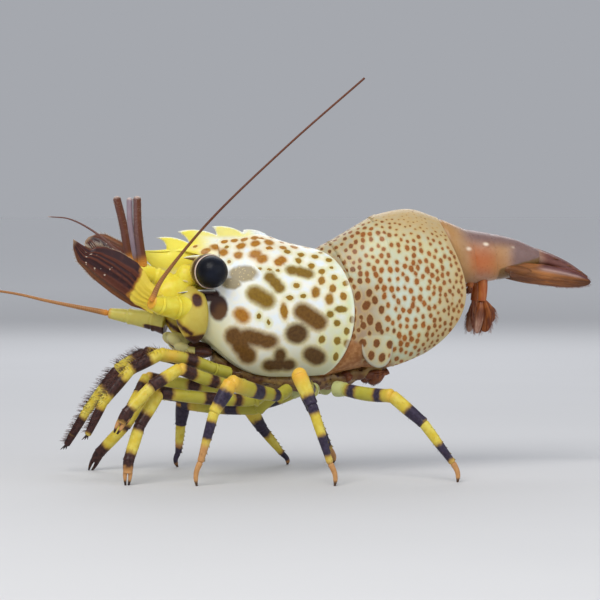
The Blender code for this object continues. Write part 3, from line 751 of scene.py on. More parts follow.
# Marks on each flank, in groups of one colour: darkness, how olive they are, and then lines of
# marks. A line runs between two places along X and Z with a number of marks spread evenly on it,
# and then come the marks' length, height and tilt. Marks that overlap run together as a blotch.
FLANK_MARKS = {
    "along the back": (0.12, 0.1, [
        ((-10.5, 31.0), (-9.2, 31.6), 2, 1.3, 0.8, -15), ((-7.8, 32.2), (-3.7, 32.8), 4, 1.0, 0.5, -20),
        ((-8.2, 30.8), (-6.3, 30.4), 2, 1.2, 1.0, 0), ((-5.7, 31.7), (-1.8, 32.2), 3, 1.4, 0.8, -15),
        ((-1.9, 31.3), (1.8, 31.5), 3, 1.1, 0.5, -15),
    ]),
    "orange": (0.18, 0.0, [
        ((-4.1, 30.5), (-3.1, 29.9), 2, 1.7, 1.1, -20), ((-0.9, 29.5), (-0.2, 29.8), 2, 1.2, 1.0, 5),
        ((-6.6, 22.4), (-6.0, 21.8), 2, 1.7, 1.7, 0),
    ]),
    "small olive": (0.16, 0.65, [
        ((0.6, 30.9), (6.3, 29.8), 4, 1.1, 0.6, -18), ((2.0, 29.7), (8.2, 26.6), 5, 1.0, 0.8, -12),
        ((1.3, 26.2), (0.4, 24.6), 2, 1.1, 0.8, 0), ((-3.6, 28.6), (-1.1, 28.4), 3, 0.7, 0.4, 0),
        ((-7.6, 31.5), (-7.6, 29.6), 2, 0.6, 0.5, 0),
    ]),
    "tall gold": (0.25, 0.35, [
        ((5.0, 26.9), (7.7, 24.7), 3, 1.0, 1.2, 5), ((3.9, 25.4), (5.7, 24.5), 2, 1.2, 1.6, 10),
        ((-0.6, 22.9), (-0.6, 22.9), 1, 1.1, 2.2, -5),
    ]),
    "low olive": (0.34, 0.9, [
        ((7.4, 23.1), (7.4, 23.1), 1, 1.8, 1.0, 0), ((8.9, 21.6), (8.2, 19.9), 2, 0.9, 1.1, 0),
        ((5.9, 22.4), (6.9, 20.9), 2, 1.0, 1.0, 0), ((4.8, 18.9), (6.9, 18.6), 2, 1.0, 1.2, 0),
        ((6.7, 16.6), (8.5, 18.1), 2, 0.8, 1.4, 0), ((-3.9, 22.1), (-2.6, 21.5), 2, 0.7, 0.9, 0),
    ]),
    "middle blotches": (0.42, 0.75, [
        ((-2.3, 27.4), (-1.0, 26.0), 3, 1.6, 1.3, -15), ((-4.5, 25.2), (-2.9, 24.2), 3, 2.2, 2.1, -10),
        ((0.9, 28.3), (3.0, 27.8), 3, 1.7, 1.3, -5),
    ]),
    "kidney": (0.74, 0.25, [((1.9, 22.9), (4.3, 21.1), 4, 2.4, 2.2, -20)]),
    "big front blotch": (0.80, 0.15, [
        ((-7.3, 19.5), (-5.5, 16.8), 3, 2.5, 2.6, -10), ((-5.5, 19.4), (-2.7, 18.8), 3, 2.9, 2.1, -5),
    ]),
    "dark blotches": (0.90, 0.45, [
        ((1.1, 19.8), (1.1, 19.8), 1, 3.2, 2.8, 0), ((-2.3, 15.4), (0.2, 15.4), 3, 2.2, 1.8, 0),
        ((-1.0, 16.7), (-1.0, 16.7), 1, 1.8, 2.2, 0), ((3.2, 17.0), (4.3, 16.3), 3, 2.4, 2.1, 0),
    ]),
}


def strung(lines):
    """The marks of some lines: place along X and Z, length, height and tilt of each."""
    for start, end, count, long, tall, tilt in lines:
        for step in range(count):
            share = step / max(count - 1, 1)
            yield *(np.array(start) * (1 - share) + np.array(end) * share), long, tall, tilt


def spot_field(points, normals, spots, join):
    """How deep each point lies in the spots, the nearest spot's colours and how soft it is.

    A spot is (index of its middle point, half length, half height, tilt, tone, olive). Spots
    that nearly touch run together; a lower join makes them flow into each other from further.
    """
    depth = np.full(len(points), UNSPOTTED)
    total = np.full(len(points), math.exp(-3.0 * join))
    tone, olive, blur = np.zeros((3, len(points)))
    for index, half_long, half_tall, tilt, darkness, greenness in spots:
        normal = normals[index]
        along = unit(np.array([1.0, 0, 0]) - normal * normal[0])
        if abs(normal[0]) > 0.97:
            along = np.array([0.0, 1.0, 0.0])
        up = np.cross(along, normal) * (-1 if points[index][1] > 0 else 1)
        c, s = math.cos(math.radians(tilt)), math.sin(math.radians(tilt))
        reach = 2.2 * max(half_long, half_tall) + 1.0
        near = np.flatnonzero(np.abs(points - points[index]).max(1) < reach)
        offset = points[near] - points[index]
        u, v = offset @ along, offset @ up
        u, v = u * c + v * s, v * c - u * s
        away = np.sqrt((u / half_long) ** 2 + (v / half_tall) ** 2 + 1e-9)
        inside = (1 - away) * min(half_long, half_tall)
        inside = np.where(normals[near] @ normal > 0, inside, UNSPOTTED)
        total[near] += np.exp(join * inside)
        better = inside > depth[near]
        hit = near[better]
        depth[hit] = inside[better]
        tone[hit], olive[hit] = darkness, greenness
        blur[hit] = smooth_step(min(half_long, half_tall), 0.35, 1.1)
    return np.log(total) / join, tone, olive, blur


def scattered(points, allowed, spacing, random, tries):
    """Indices of points spread evenly over a surface, no two nearer than the local spacing."""
    chosen, places = [], np.empty((0, 3))
    for index in random.permutation(np.flatnonzero(allowed))[:tries]:
        gap = spacing[index]
        if len(places) and (np.linalg.norm(places - points[index], axis=1) < gap).any():
            continue
        chosen.append(index)
        places = np.vstack([places, points[index]])
    return chosen


def flank_index(points, x, z, side):
    """The outermost point of one flank at a place along X and Z."""
    out = points[:, 1] * side
    miss = (points[:, 0] - x) ** 2 + (points[:, 2] - z) ** 2 - 0.06 * out + np.where(out > 0.4, 0, 100)
    return int(miss.argmin())


def arc(start, end, bulge, steps=7):
    """Points of a curved edge from start to end, bulging to its left by a share of its length."""
    start, end = np.asarray(start, float), np.asarray(end, float)
    way = end - start
    share = np.linspace(0, 1, steps + 1)[:-1, None]
    return start + way * share + np.array([-way[1], way[0]]) * bulge * 4 * share * (1 - share)


# The rostrum's upper edge: each tooth's tip and the bottom of the notch behind it, front to back.
TEETH = [((-17.2, 32.72), (-12.5, 32.0)), ((-14.15, 33.55), (-8.7, 33.1)), ((-9.35, 34.25), (-5.1, 33.45)),
         ((-4.95, 33.8), (-1.6, 33.1))]
FIRST_NOTCH = (-15.6, 30.95)
ROSTRUM_UNDERSIDE = [(-3.0, 31.9), (-6.5, 31.0), (-9.0, 29.0), (-12.0, 27.4), (-15.4, 27.5), (-17.4, 28.6),
                     (-18.6, 29.9)]


def rostrum_outline():
    """The rostrum seen from the side: teeth above, a plain edge below."""
    points = [*arc((ROSTRUM_TIP_X, 31.02), FIRST_NOTCH, -0.03)]
    notch = FIRST_NOTCH
    for tip, next_notch in TEETH:
        points += [*arc(notch, tip, -0.22 if notch == FIRST_NOTCH else -0.10)]
        points += [*arc(tip, next_notch, 0.09)]
        notch = next_notch
    corners = [notch, *ROSTRUM_UNDERSIDE, (ROSTRUM_TIP_X, 30.95)]
    for start, end in zip(corners, corners[1:]):
        points += [*arc(start, end, 0.0, 5)]
    return np.array(points)


def edge_distance(points, outline):
    """How far inside a closed outline each 2D point lies."""
    starts, ends = outline, np.roll(outline, -1, axis=0)
    way = ends - starts
    share = ((points[:, None] - starts) * way).sum(-1) / np.maximum((way**2).sum(-1), 1e-9)
    nearest = starts + way * np.clip(share, 0, 1)[..., None]
    return np.linalg.norm(points[:, None] - nearest, axis=-1).min(1)


def inside_outline(points, outline):
    """Which 2D points lie inside a closed outline."""
    x, z = points.T
    hit = np.zeros(len(points), bool)
    for (x0, z0), (x1, z1) in zip(outline, np.roll(outline, -1, axis=0)):
        if z0 != z1:
            hit ^= ((z0 > z) != (z1 > z)) & (x < (x1 - x0) * (z - z0) / (z1 - z0) + x0)
    return hit


def add_rostrum(shape):
    """The toothed blade: thin at its edges, thickest low down where it joins the roof."""
    outline = rostrum_outline()
    step = 0.17
    low, high = outline.min(0), outline.max(0)
    xs, zs = np.meshgrid(np.arange(low[0], high[0], step), np.arange(low[1], high[1], step))
    grid = np.stack([xs.ravel() + (np.round(zs.ravel() / step) % 2) * step / 2, zs.ravel()], -1)
    grid = grid[inside_outline(grid, outline)]
    grid = grid[edge_distance(grid, outline) > step * 0.6]
    flat = [Vector(p) for p in np.vstack([outline, grid])]
    rim = [(i, (i + 1) % len(outline)) for i in range(len(outline))]
    verts, _, faces, *_ = geometry.delaunay_2d_cdt(flat, rim, [], 1, 1e-5)
    verts = np.array([tuple(v) for v in verts])
    depth = edge_distance(verts, outline)
    belly = np.exp(-(((verts[:, 1] - 29.8) / 1.6) ** 2)) * smooth_step(verts[:, 0], -19.3, -14.0)
    half = np.minimum(0.16 + 0.44 * belly + 0.10 * smooth_step(depth, 0.2, 1.2), 0.05 + depth * 0.9)
    count = len(verts)
    side = np.column_stack([verts[:, 0], -half, verts[:, 1]])
    other = np.column_stack([verts[:, 0], half, verts[:, 1]])
    edges = {(a, b) for face in faces for a, b in zip(face, [*face[1:], face[0]])}
    walls = [[b, a, a + count, b + count] for a, b in sorted(edges) if (b, a) not in edges]
    both = [list(face) for face in faces] + [[i + count for i in face[::-1]] for face in faces] + walls
    white = 0.8 * (1 - smooth_step(depth, 0.03, 0.14)) * (verts[:, 1] > 31.6)
    for tip, _ in TEETH:
        white = np.maximum(white, 1 - smooth_step(np.linalg.norm(verts - np.array(tip), axis=1), 0.25, 0.8))
    shape.add(np.vstack([side, other]), both, pale=np.tile(white, 2), rear=np.full(2 * count, NO_EDGE))


def build_carapace():
    """The carapace with the roof of the rostrum, its toothed blade and the spines of the face."""
    shape = Shape()
    main = lofted(CARAPACE_SECTIONS, 96, SHELL_COLS)
    turn = np.linspace(0, 2 * math.pi, SHELL_COLS, endpoint=False)
    roof = np.array([roof_ring(*numbers, turn) for numbers in smooth_path(ROOF, 40)])[::-1]
    # The ridge under the rostral blade, and a shallow step inwards along the belly.
    blend = smooth_step(main[..., 0], -8.6, -5.0)
    main[..., 2] += 0.35 * (1 - blend) * np.exp(-((main[..., 1] / 0.7) ** 2)) * (main[..., 2] > 30)
    groove_half = GROOVE_REACH * CARAPACE_HALF_WIDTH
    belly = (main[..., 2] < 20) & (np.abs(main[..., 1]) < groove_half)
    rise = np.where(belly, np.cos(main[..., 1] / groove_half * math.pi / 2), 0)
    main[..., 2] += 0.9 * rise**0.5
    top = np.abs(np.where(turn > math.pi, turn - 2 * math.pi, turn)) < ORBIT_TURN
    wall = [inset(main[0], 0.10, -0.10), inset(main[0], 0.28, 0.05), inset(main[0], 0.9, 0.6)]
    for row in wall:
        row[top] = main[0][top]
    rear = [
        inset(main[-1], depth, dx)
        for depth, dx in (
            (0.03, 0.06), (0.09, 0.10), (0.16, 0.06), (0.22, -0.08), (0.5, -0.9), (2.5, -2.5),
        )
    ]
    rings = np.array([*roof[:-1], *wall[::-1], *main, *rear])
    along = distance_along(main)
    gap = np.full(rings.shape[:2], NO_EDGE)
    gap[len(roof) + 2 : len(roof) + 2 + len(main)] = along[-1] - along
    gap[len(roof) + 2 + len(main) :] = 0
    shape.sleeve(rings, rear=gap)
    add_rostrum(shape)
    # The spine over each eye and the spine beside each feeler base: painted light along the side facing up,
    # painted shade below, brown over the eye and black beside the feeler base.
    facing_up = np.cos(np.linspace(0, 2 * math.pi, 12, endpoint=False))
    painted_top_light = np.clip(1.6 * facing_up - 0.5, 0, 1)
    for side in (-1, 1):
        spine(shape, (-11.0, 3.5 * side, 29.75), (-13.95, 4.0 * side, 30.05), 0.62, (0, 0, 0.12), 12,
              pale=painted_top_light, brown=0.95 * (1 - painted_top_light), rear=NO_EDGE)
        spine(shape, (-9.8, 4.3 * side, 25.4), (-15.0, 5.5 * side, 25.35), 0.36, (0, 0.2 * side, 0.12), 12,
              pale=painted_top_light, black=1 - painted_top_light, rear=NO_EDGE)
    obj = shape.build("carapace_shell", CARAPACE_FINISH, "carapace_shell", ("carapace", "rostrum"))
    paint_carapace(obj)


def named_values(obj, *names):
    """The object's named values at its points."""
    found = np.zeros((len(names), len(obj.data.vertices)), np.float32)
    for row, name in zip(found, names):
        if name in obj.data.attributes:
            obj.data.attributes[name].data.foreach_get("value", row)
    return found.astype(float)


# Soft patches round and behind the eye: what they are painted with, middle and size on one flank. The brown
# patch, under the spine over the eye, is painted shade.
FRONT_PATCHES = [
    ("black", (-10.4, 4.4, 25.0), (1.5, 1.4, 0.95)), ("black", (-9.3, 4.8, 23.3), (1.35, 1.8, 1.9)),
    ("warm", (-8.9, 4.9, 22.7), (1.0, 1.6, 1.3)), ("warm", (-9.8, 4.6, 21.9), (1.4, 1.6, 0.9)),
    ("gold", (-5.9, 4.7, 27.9), (2.2, 1.6, 1.25)), ("gold", (-7.5, 4.8, 26.6), (1.4, 1.5, 0.9)),
    ("brown", (-12.2, 2.8, 29.6), (1.1, 1.2, 0.8)),
]


def paint_carapace(obj):
    """Blotches, spots and the changes of ground colour over the carapace."""
    points, normals = read_points(obj)
    x, y, z = points.T
    random = np.random.default_rng(11)
    rear, pale, black, brown = named_values(obj, "rear", "pale", "black", "brown")
    spots = []
    for darkness, olive, marks in FLANK_MARKS.values():
        for mark_x, mark_z, long, tall, tilt in strung(marks):
            for side in (-1, 1):
                drift = random.normal(0, 0.25, 3) * (side > 0)
                index = flank_index(points, mark_x + drift[0], mark_z + drift[1], side)
                # A mark seen at a slant is longer on the shell than it looks.
                lean = max(0.5, math.hypot(normals[index][0], normals[index][1]))
                turned = max(0.6, math.sqrt(1 - normals[index][0] ** 2))
                half = BLOTCH_GROWTH / 2
                size = half * long / turned, half * tall / lean
                spots.append((index, *size, tilt + 15 * drift[2], darkness, olive))
    depth = spot_field(points, normals, spots, 6.0)[0]
    open_shell = (depth < -0.75) & (z > 16) & (x > -12.6) & (rear > 0.6) & (normals[:, 0] > -0.9)
    open_shell &= ((x > 2.0) | ((z > 31.5) & (z < 33.0))) & (pale < 0.1)
    open_shell &= (np.abs(y) > 0.9) | (x > -3.0)
    for index in scattered(points, open_shell, np.full(len(points), 1.35), random, 9000):
        size = random.uniform(0.22, 0.38)
        olive = smooth_step(z[index], 32.0, 30.0) * 0.8
        spots.append((index, size * 1.3, size, random.uniform(-35, 10), 0.2, olive))
    depth, tone, olive, blur = spot_field(points, normals, spots, 6.0)
    front = 1 - smooth_step(x + 0.22 * (z - 30), -11.8, -8.0)
    # Low on the flank and on the cheeks the shell turns cream, in a colour darkened as painted shade.
    lower = 1 - smooth_step(z - 0.35 * x, 15.0, 22.0)
    cheek = (1 - smooth_step(x, -10.0, -6.0)) * (1 - smooth_step(z, 20.0, 26.0))
    crest = smooth_step(z, 32.4, 33.2) * (1 - smooth_step(x, -5.5, -2.5)) * 0.8
    yellow = np.clip(np.maximum(front, crest) * smooth_step(z, 27.0, 29.0) + 0.2 * cheek, 0, 1)
    yellow = yellow * (1 - 0.75 * pale)
    layers = dict(black=black, brown=brown, warm=np.zeros(len(points)), gold=np.zeros(len(points)))
    folded = np.stack([x, np.abs(y), z], -1)
    for name, place, size in FRONT_PATCHES:
        away = np.linalg.norm((folded - place) / size, axis=1)
        layers[name] = np.maximum(layers[name], 1 - smooth_step(away, 0.55, 1.3))
    black, brown, warm, gold = (layers[name] for name in ("black", "brown", "warm", "gold"))
    depth = np.where((gold > 0.2) | (x < -12.9), UNSPOTTED, depth)
    rim = 1 - smooth_step(rear, 0.1, 0.55)
    paint(
        obj, spot=depth, tone=tone, olive=olive, blur=blur, yellow=yellow,
        cream=np.clip(lower * 0.75 + 0.7 * cheek, 0, 1), green=smooth_step(x, 3.0, 8.0) * 0.7, warm=warm,
        brown=brown * (1 - pale), black=black * (1 - pale), gold=gold, pale=np.clip(pale + 0.4 * rim, 0, 1),
    )


# ---------------------------------------------------------------- abdomen

# The cross-sections that the tail's plates run through.
ABDOMEN = {
    "waist": section((5.3, 31.3), (4.0, 13.2), 6.3, 4.95, 0.52, 0.0, 2.1, 2.7, 0.48),
    "first_back": section((7.6, 32.5), (10.6, 14.2), 6.3, 1.8, 0.54, 2.2),
    "second_back": section((13.5, 35.9), (15.3, 14.1), 6.4, 0.9, 0.55, 3.8),
    "third_middle": section((18.3, 36.65), (17.0, 14.9), 6.1, 3.2, 0.57, 4.2),
    "third_back": section((22.3, 35.5), (18.5, 15.8), 5.2, 5.1, 0.6, 2.4),
    "fourth_front": section((22.9, 35.25), (25.0, 26.2), 3.7, 0.4),
    "fourth_back": section((26.3, 33.85), (27.2, 26.2), 3.7, 0.2),
    "fifth_back": section((29.8, 33.3), (30.5, 26.65), 3.4),
    "sixth_middle": section((33.4, 32.5), (33.4, 27.2), 2.8),
    "sixth_back": section((36.9, 31.05), (36.6, 28.5), 1.9),
}


# The outline of the second side flap on the flank, from its upper front round to its upper rear.
FLAP = [(10.8, 20.6), (10.4, 19.2), (10.4, 17.6), (10.8, 16.4), (11.6, 15.45), (12.7, 14.95), (13.8, 15.2),
        (14.5, 16.2), (14.8, 18.0), (14.3, 20.6)]
FLAP_MIDDLE = (12.6, 18.6)
FLAP_HINGE = 18.0

# The largest dots, low on the flank in front, as lines of marks like the carapace's.
FLANK_DOTS = [
    ((11.7, 16.7), (13.2, 16.3), 2, 1.0, 1.4, 0), ((10.4, 18.4), (14.3, 18.2), 3, 1.0, 1.3, 0),
    ((11.4, 21.5), (12.6, 20.6), 2, 1.0, 1.6, 0), ((11.3, 25.3), (13.0, 23.0), 3, 0.9, 1.3, 0),
    ((9.8, 24.8), (10.9, 23.5), 2, 0.9, 1.4, 0), ((11.4, 19.7), (14.8, 20.1), 3, 0.6, 0.8, 0),
    ((9.8, 20.2), (10.2, 21.9), 2, 0.6, 0.7, 0), ((10.1, 26.9), (9.3, 28.4), 2, 0.8, 0.9, 0),
]
ABDOMEN_PLATES = [
    ("pleonite_1", ("waist", "first_back"), 36), ("pleonite_2", ("first_back", "second_back"), 52),
    ("pleonite_3", ("second_back", "third_middle", "third_back"), 72),
]
TAIL_PLATES = [
    ("pleonite_4", ("fourth_front", "fourth_back"), 26), ("pleonite_5", ("fourth_back", "fifth_back"), 30),
    ("pleonite_6", ("fifth_back", "sixth_middle", "sixth_back"), 44),
]


def flank_surface(lofts):
    """A function giving how far out the flank lies at a place along X and Z."""
    side = np.vstack([rings.reshape(-1, 3) for rings in lofts])
    side = side[side[:, 1] > 0.3]

    def reach(x, z):
        """The mean of the six nearest flank points, the nearer ones counting more."""
        away = (side[:, 0] - x.reshape(-1, 1)) ** 2 + (side[:, 2] - z.reshape(-1, 1)) ** 2
        near = np.argpartition(away, 6, axis=1)[:, :6]
        weight = 1 / (np.take_along_axis(away, near, 1) + 0.02)
        return ((side[:, 1][near] * weight).sum(1) / weight.sum(1)).reshape(x.shape)

    return reach


def side_flap(shape, side, surface):
    """A rounded side flap that grows out of the plate above and stands off it along its lower edge."""
    outline = smooth_path(FLAP, 90)
    middle = np.array(FLAP_MIDDLE)
    share = np.linspace(1.0, 0.0, 26)[:, None, None]
    spread = middle + (outline - middle) * share
    low = smooth_step(spread[..., 1], 20.2, 17.6)
    reach = 1 - share[..., 0] * np.ones_like(low)
    lift = (0.04 + 0.26 * low) * np.sqrt(np.clip(1 - (1 - reach) ** 5, 0, 1)) - 0.12 * (1 - low)
    # Below its hinge the flap hangs almost straight down, clear of the belly that curves in behind it.
    x, z = spread[..., 0], spread[..., 1]
    hanging = surface(x, np.maximum(z, FLAP_HINGE)) - 0.13 * np.maximum(FLAP_HINGE - z, 0)
    y = (np.maximum(surface(x, z), hanging) + lift) * side
    outer = np.stack([x, y, z], -1)
    inner = outer[::-1] - np.array([0, 0.5 * side, 0])
    gap = np.where(low > 0.05, reach * 3.2 + (1 - low) * 2, 2.0)
    shape.sleeve(np.concatenate([outer[::-1], inner[::-1]]), rear=np.vstack([gap[::-1], gap[::-1]]),
                 flap=np.ones((52, 90)))


def build_abdomen():
    """The three big plates with their side flaps, then the three small ones of the tail."""
    lofts = {
        name: lofted([ABDOMEN[key] for key in keys], rows, SHELL_COLS)
        for name, keys, rows in ABDOMEN_PLATES
    }
    shells = []
    for name, outer in lofts.items():
        shape = Shape()
        plate(shape, outer)
        if name == "pleonite_2":
            surface = flank_surface([lofts["pleonite_1"], outer])
            for side in (-1, 1):
                side_flap(shape, side, surface)
        shells.append(shape.build(f"{name}_shell", ABDOMEN_FINISH, "abdomen_shell", (name,)))
    paint_abdomen(shells)
    for name, keys, rows in TAIL_PLATES:
        shape = Shape()
        plate(shape, lofted([ABDOMEN[key] for key in keys], rows, 160), 1.0, 1.3)
        obj = shape.build(f"{name}_shell", TAIL_FINISH, "tail_shell", (name,))
        paint_tail(obj)


def paint_abdomen(shells):
    """Colours the three big plates together, so that the dots run on from one to the next."""
    read = [read_points(obj) for obj in shells]
    points, normals = (np.concatenate(parts) for parts in zip(*read))
    x, y, z = points.T
    number = np.concatenate([np.full(len(part[0]), i + 1) for i, part in enumerate(read)])
    rear, flap = np.concatenate([named_values(obj, "rear", "flap") for obj in shells], axis=1)
    random = np.random.default_rng(31)
    hump = smooth_step(z + 0.25 * (x - 14), 32.0, 36.3)
    front = (1 - smooth_step(x, 10.0, 15.5)) * (1 - smooth_step(z, 24.0, 28.5))
    behind = smooth_step(x - 0.35 * (z - 25), 19.5, 23.5)
    # Over the top of the neck the plates get mauve and darker dots: painted shade.
    neck = (1 - smooth_step(x, 9.0, 12.5)) * smooth_step(z, 26.0, 30.0)
    skin = (1 - smooth_step(x, 10.3, 10.9)) * (1 - smooth_step(z + 0.5 * (x - 9.5), 18.2, 19.0))
    skin = np.maximum(skin, (1 - smooth_step(z, 15.2, 15.9)) * (1 - smooth_step(x, 14.4, 15.8)))
    skin = skin * (number < 3) * (flap < 0.5)
    skin = np.maximum(skin, smooth_step(-rear, 0.5, 2.5))
    spots = []
    for dot_x, dot_z, long, tall, _ in strung(FLANK_DOTS):
        for side in (-1, 1):
            drift = random.normal(0, 0.2, 2) * (side > 0)
            index = flank_index(points, dot_x + drift[0], dot_z + drift[1], side)
            spots.append((index, long / 2, tall / 2, random.uniform(-12, 12), 0.75, 0.0))
    taken = spot_field(points, normals, spots, 14.0)[0] > -0.5
    outward = unit(np.stack([0 * x, y, z - 25.0], -1))
    allowed = (z > 14.5) & (rear > 0.3) & (skin < 0.3) & ~taken & (np.abs(normals[:, 0]) < 0.88)
    allowed &= (normals * outward).sum(1) > 0.15
    for index in scattered(points, allowed, 0.89 - 0.27 * hump - 0.16 * behind + 0.24 * front, random, 60000):
        size = 0.34 - 0.14 * hump[index] + 0.10 * front[index] - 0.07 * behind[index]
        size = size * random.uniform(0.8, 1.15)
        tall = size * (random.uniform(1.1, 1.45) - 0.5 * hump[index])
        tone = 0.15 + 0.45 * hump[index] + 0.5 * front[index] + 0.3 * behind[index]
        tone += random.uniform(-0.15, 0.15) + 0.45 * neck[index]
        spots.append((index, size, tall, random.uniform(-18, 18), tone, 0.0))
    depth, tone, _, _ = spot_field(points, normals, spots, 14.0)
    depth = depth - 0.05 * smooth_step(hump, 0.85, 1.0)
    edge = 1 - smooth_step(rear, 0.5, 1.5)
    tan = np.maximum.reduce([
        0.85 * hump, 0.85 * edge * (number == 3) * smooth_step(z, 17.0, 20.0), 0.55 * behind,
        0.6 * (1 - smooth_step(z, 14.8, 16.2)) * smooth_step(x, 14.0, 16.0),
    ])
    blue = np.exp(-(((x - 15.5) / 4.5) ** 2)) * np.exp(-(((z - 25.0) / 5.0) ** 2))
    columns = {
        "spot": depth, "tone": np.clip(tone, 0, 1), "tan": np.clip(tan, 0, 1), "skin": skin,
        # Mauve as painted shade over the neck, and mauve low on the front of the flank.
        "mauve": np.clip(0.5 * neck + front * (0.95 - 0.35 * flap), 0, 1), "blue": 0.8 * blue,
        "pale": 0.8 * (flap > 0.5) * (1 - smooth_step(rear, 0.15, 0.5)) * (z < 18.5),
    }
    first = 0
    for obj, part in zip(shells, read):
        last = first + len(part[0])
        paint(obj, **{key: column[first:last] for key, column in columns.items()})
        first = last


# White glints on the tail's flank, painted highlights: middle and radius, on one side.
GLINTS = [((24.7, 2.6, 32.7), 0.34), ((26.1, 3.3, 31.1), 0.52), ((28.7, 2.8, 31.7), 0.52),
          ((32.7, 2.2, 31.2), 0.44)]


def paint_tail(obj):
    """Flesh that shows through the tail's flank, mauve along its top and glints painted as highlights."""
    points = read_points(obj)[0]
    x, y, z = points.T
    middle = 29.6 - 0.12 * (x - 26)
    flesh = np.exp(-(((z - middle) / 2.3) ** 2)) * smooth_step(x, 25.0, 27.0)
    flesh = flesh * (1 - 0.75 * smooth_step(x, 29.6, 32.5))
    folded = np.stack([x, np.abs(y), z], -1)
    glint = np.zeros(len(points))
    for place, size in GLINTS:
        away = np.linalg.norm((folded - place) * (0.8, 1, 1.2), axis=1)
        glint = np.maximum(glint, 1 - smooth_step(away, 0.3 * size, size))
    front = 1 - smooth_step(x + 0.25 * (z - 30), 24.6, 27.6)
    tan = np.maximum(front, 0.7 * np.exp(-(((x - 31.0) / 1.6) ** 2)))
    mauve = np.maximum(smooth_step(z + 0.12 * (x - 26), 31.4, 33.0) * smooth_step(x, 24.5, 27.5),
                       smooth_step(x, 31.5, 33.5) * smooth_step(z, 27.6, 28.8))
    dark = (1 - smooth_step(z - 0.25 * (x - 31), 27.9, 29.0)) * smooth_step(x, 30.0, 31.2) * 0.9
    paint(obj, flesh=flesh * 0.95, pale=glint, tan=tan * 0.9, mauve=mauve * 0.95, dark=dark)


# ---------------------------------------------------------------- blades


def blade_frame(root, tip, roll):
    """Unit vectors along a blade, across it and out of its face, as the solids turn it."""
    along = unit(np.subtract(tip, root))
    flat = unit(np.cross(along, [0, 0, 1.0]))
    normal = np.cross(along, flat)
    c, s = math.cos(math.radians(roll)), math.sin(math.radians(roll))
    return along, flat * c + normal * s, normal * c - flat * s


def blade_rings(root, tip, roll, lower, upper, thick, rows=60, cols=40, curl=0.0, ribs=()):
    """A thin plate between two edges, given as functions of the share of its length.

    curl cups it; ribs are (share across, height, width) of raised lines.
    """
    along, across, normal = blade_frame(root, tip, roll)
    length = np.linalg.norm(np.subtract(tip, root))
    share = np.linspace(0, 1, rows)
    v = np.cos(np.linspace(0, 2 * math.pi, cols, endpoint=False))[None]
    face = np.sign(np.sin(np.linspace(1e-6, 2 * math.pi + 1e-6, cols, endpoint=False)))[None]
    low, high = lower(share)[:, None], upper(share)[:, None]
    b = low + (high - low) * (v + 1) / 2
    fullness = 0.35 + 0.65 * np.sin(math.pi * np.clip(share, 0.08, 0.94))
    half = thick / 2 * np.sqrt(np.clip(1 - v**4, 0, 1)) * fullness[:, None]
    lift = curl * (1 - v**2) * np.sin(math.pi * share)[:, None]
    rib = sum(h * np.exp(-(((v - c) / w) ** 2)) for c, h, w in ribs) if ribs else 0 * v
    out = face * (half + rib * np.sin(math.pi * share)[:, None] ** 0.5) + lift
    points = (
        np.asarray(root, float)
        + along * (share * length)[:, None, None]
        + across * b[..., None]
        + normal * out[..., None]
    )
    return points, share[:, None] * np.ones_like(v), v * np.ones((rows, 1))


SCALES = {
    "antennal_scale_L": ((-17.0, -4.3, 24.2), (-29.3, -7.2, 32.6), 74),
    "antennal_scale_R": ((-17.0, 4.3, 24.6), (-25.6, 7.6, 32.4), -74),
}


# Each antennal scale's margins, read along its length: share of the length, distance from its
# middle line. The outer margin ends in a spine; the inner one is rounded and fringed.
SCALE_MARGINS = {
    "L": (
        [(0, 2.1), (0.11, 2.4), (0.2, 2.85), (0.33, 2.98), (0.42, 3.0), (0.59, 2.85), (0.69, 2.65),
         (0.76, 2.4), (0.85, 2.1), (0.9, 1.6), (0.96, 0.9), (1, 0.05)],
        [(0, -0.8), (0.19, -1.3), (0.30, -2.0), (0.40, -2.4), (0.59, -2.2), (0.73, -1.6), (0.79, -1.0),
         (0.82, -0.25), (0.90, -0.12), (1, -0.05)],
    ),
    "R": (
        [(0, 1.6), (0.2, 2.1), (0.37, 2.5), (0.59, 3.2), (0.70, 2.9), (0.88, 2.3), (0.96, 1.5), (1, 0.5)],
        [(0, -1.2), (0.2, -2.0), (0.4, -2.6), (0.6, -2.6), (0.8, -2.1), (0.93, -1.2), (1, -0.3)],
    ),
}


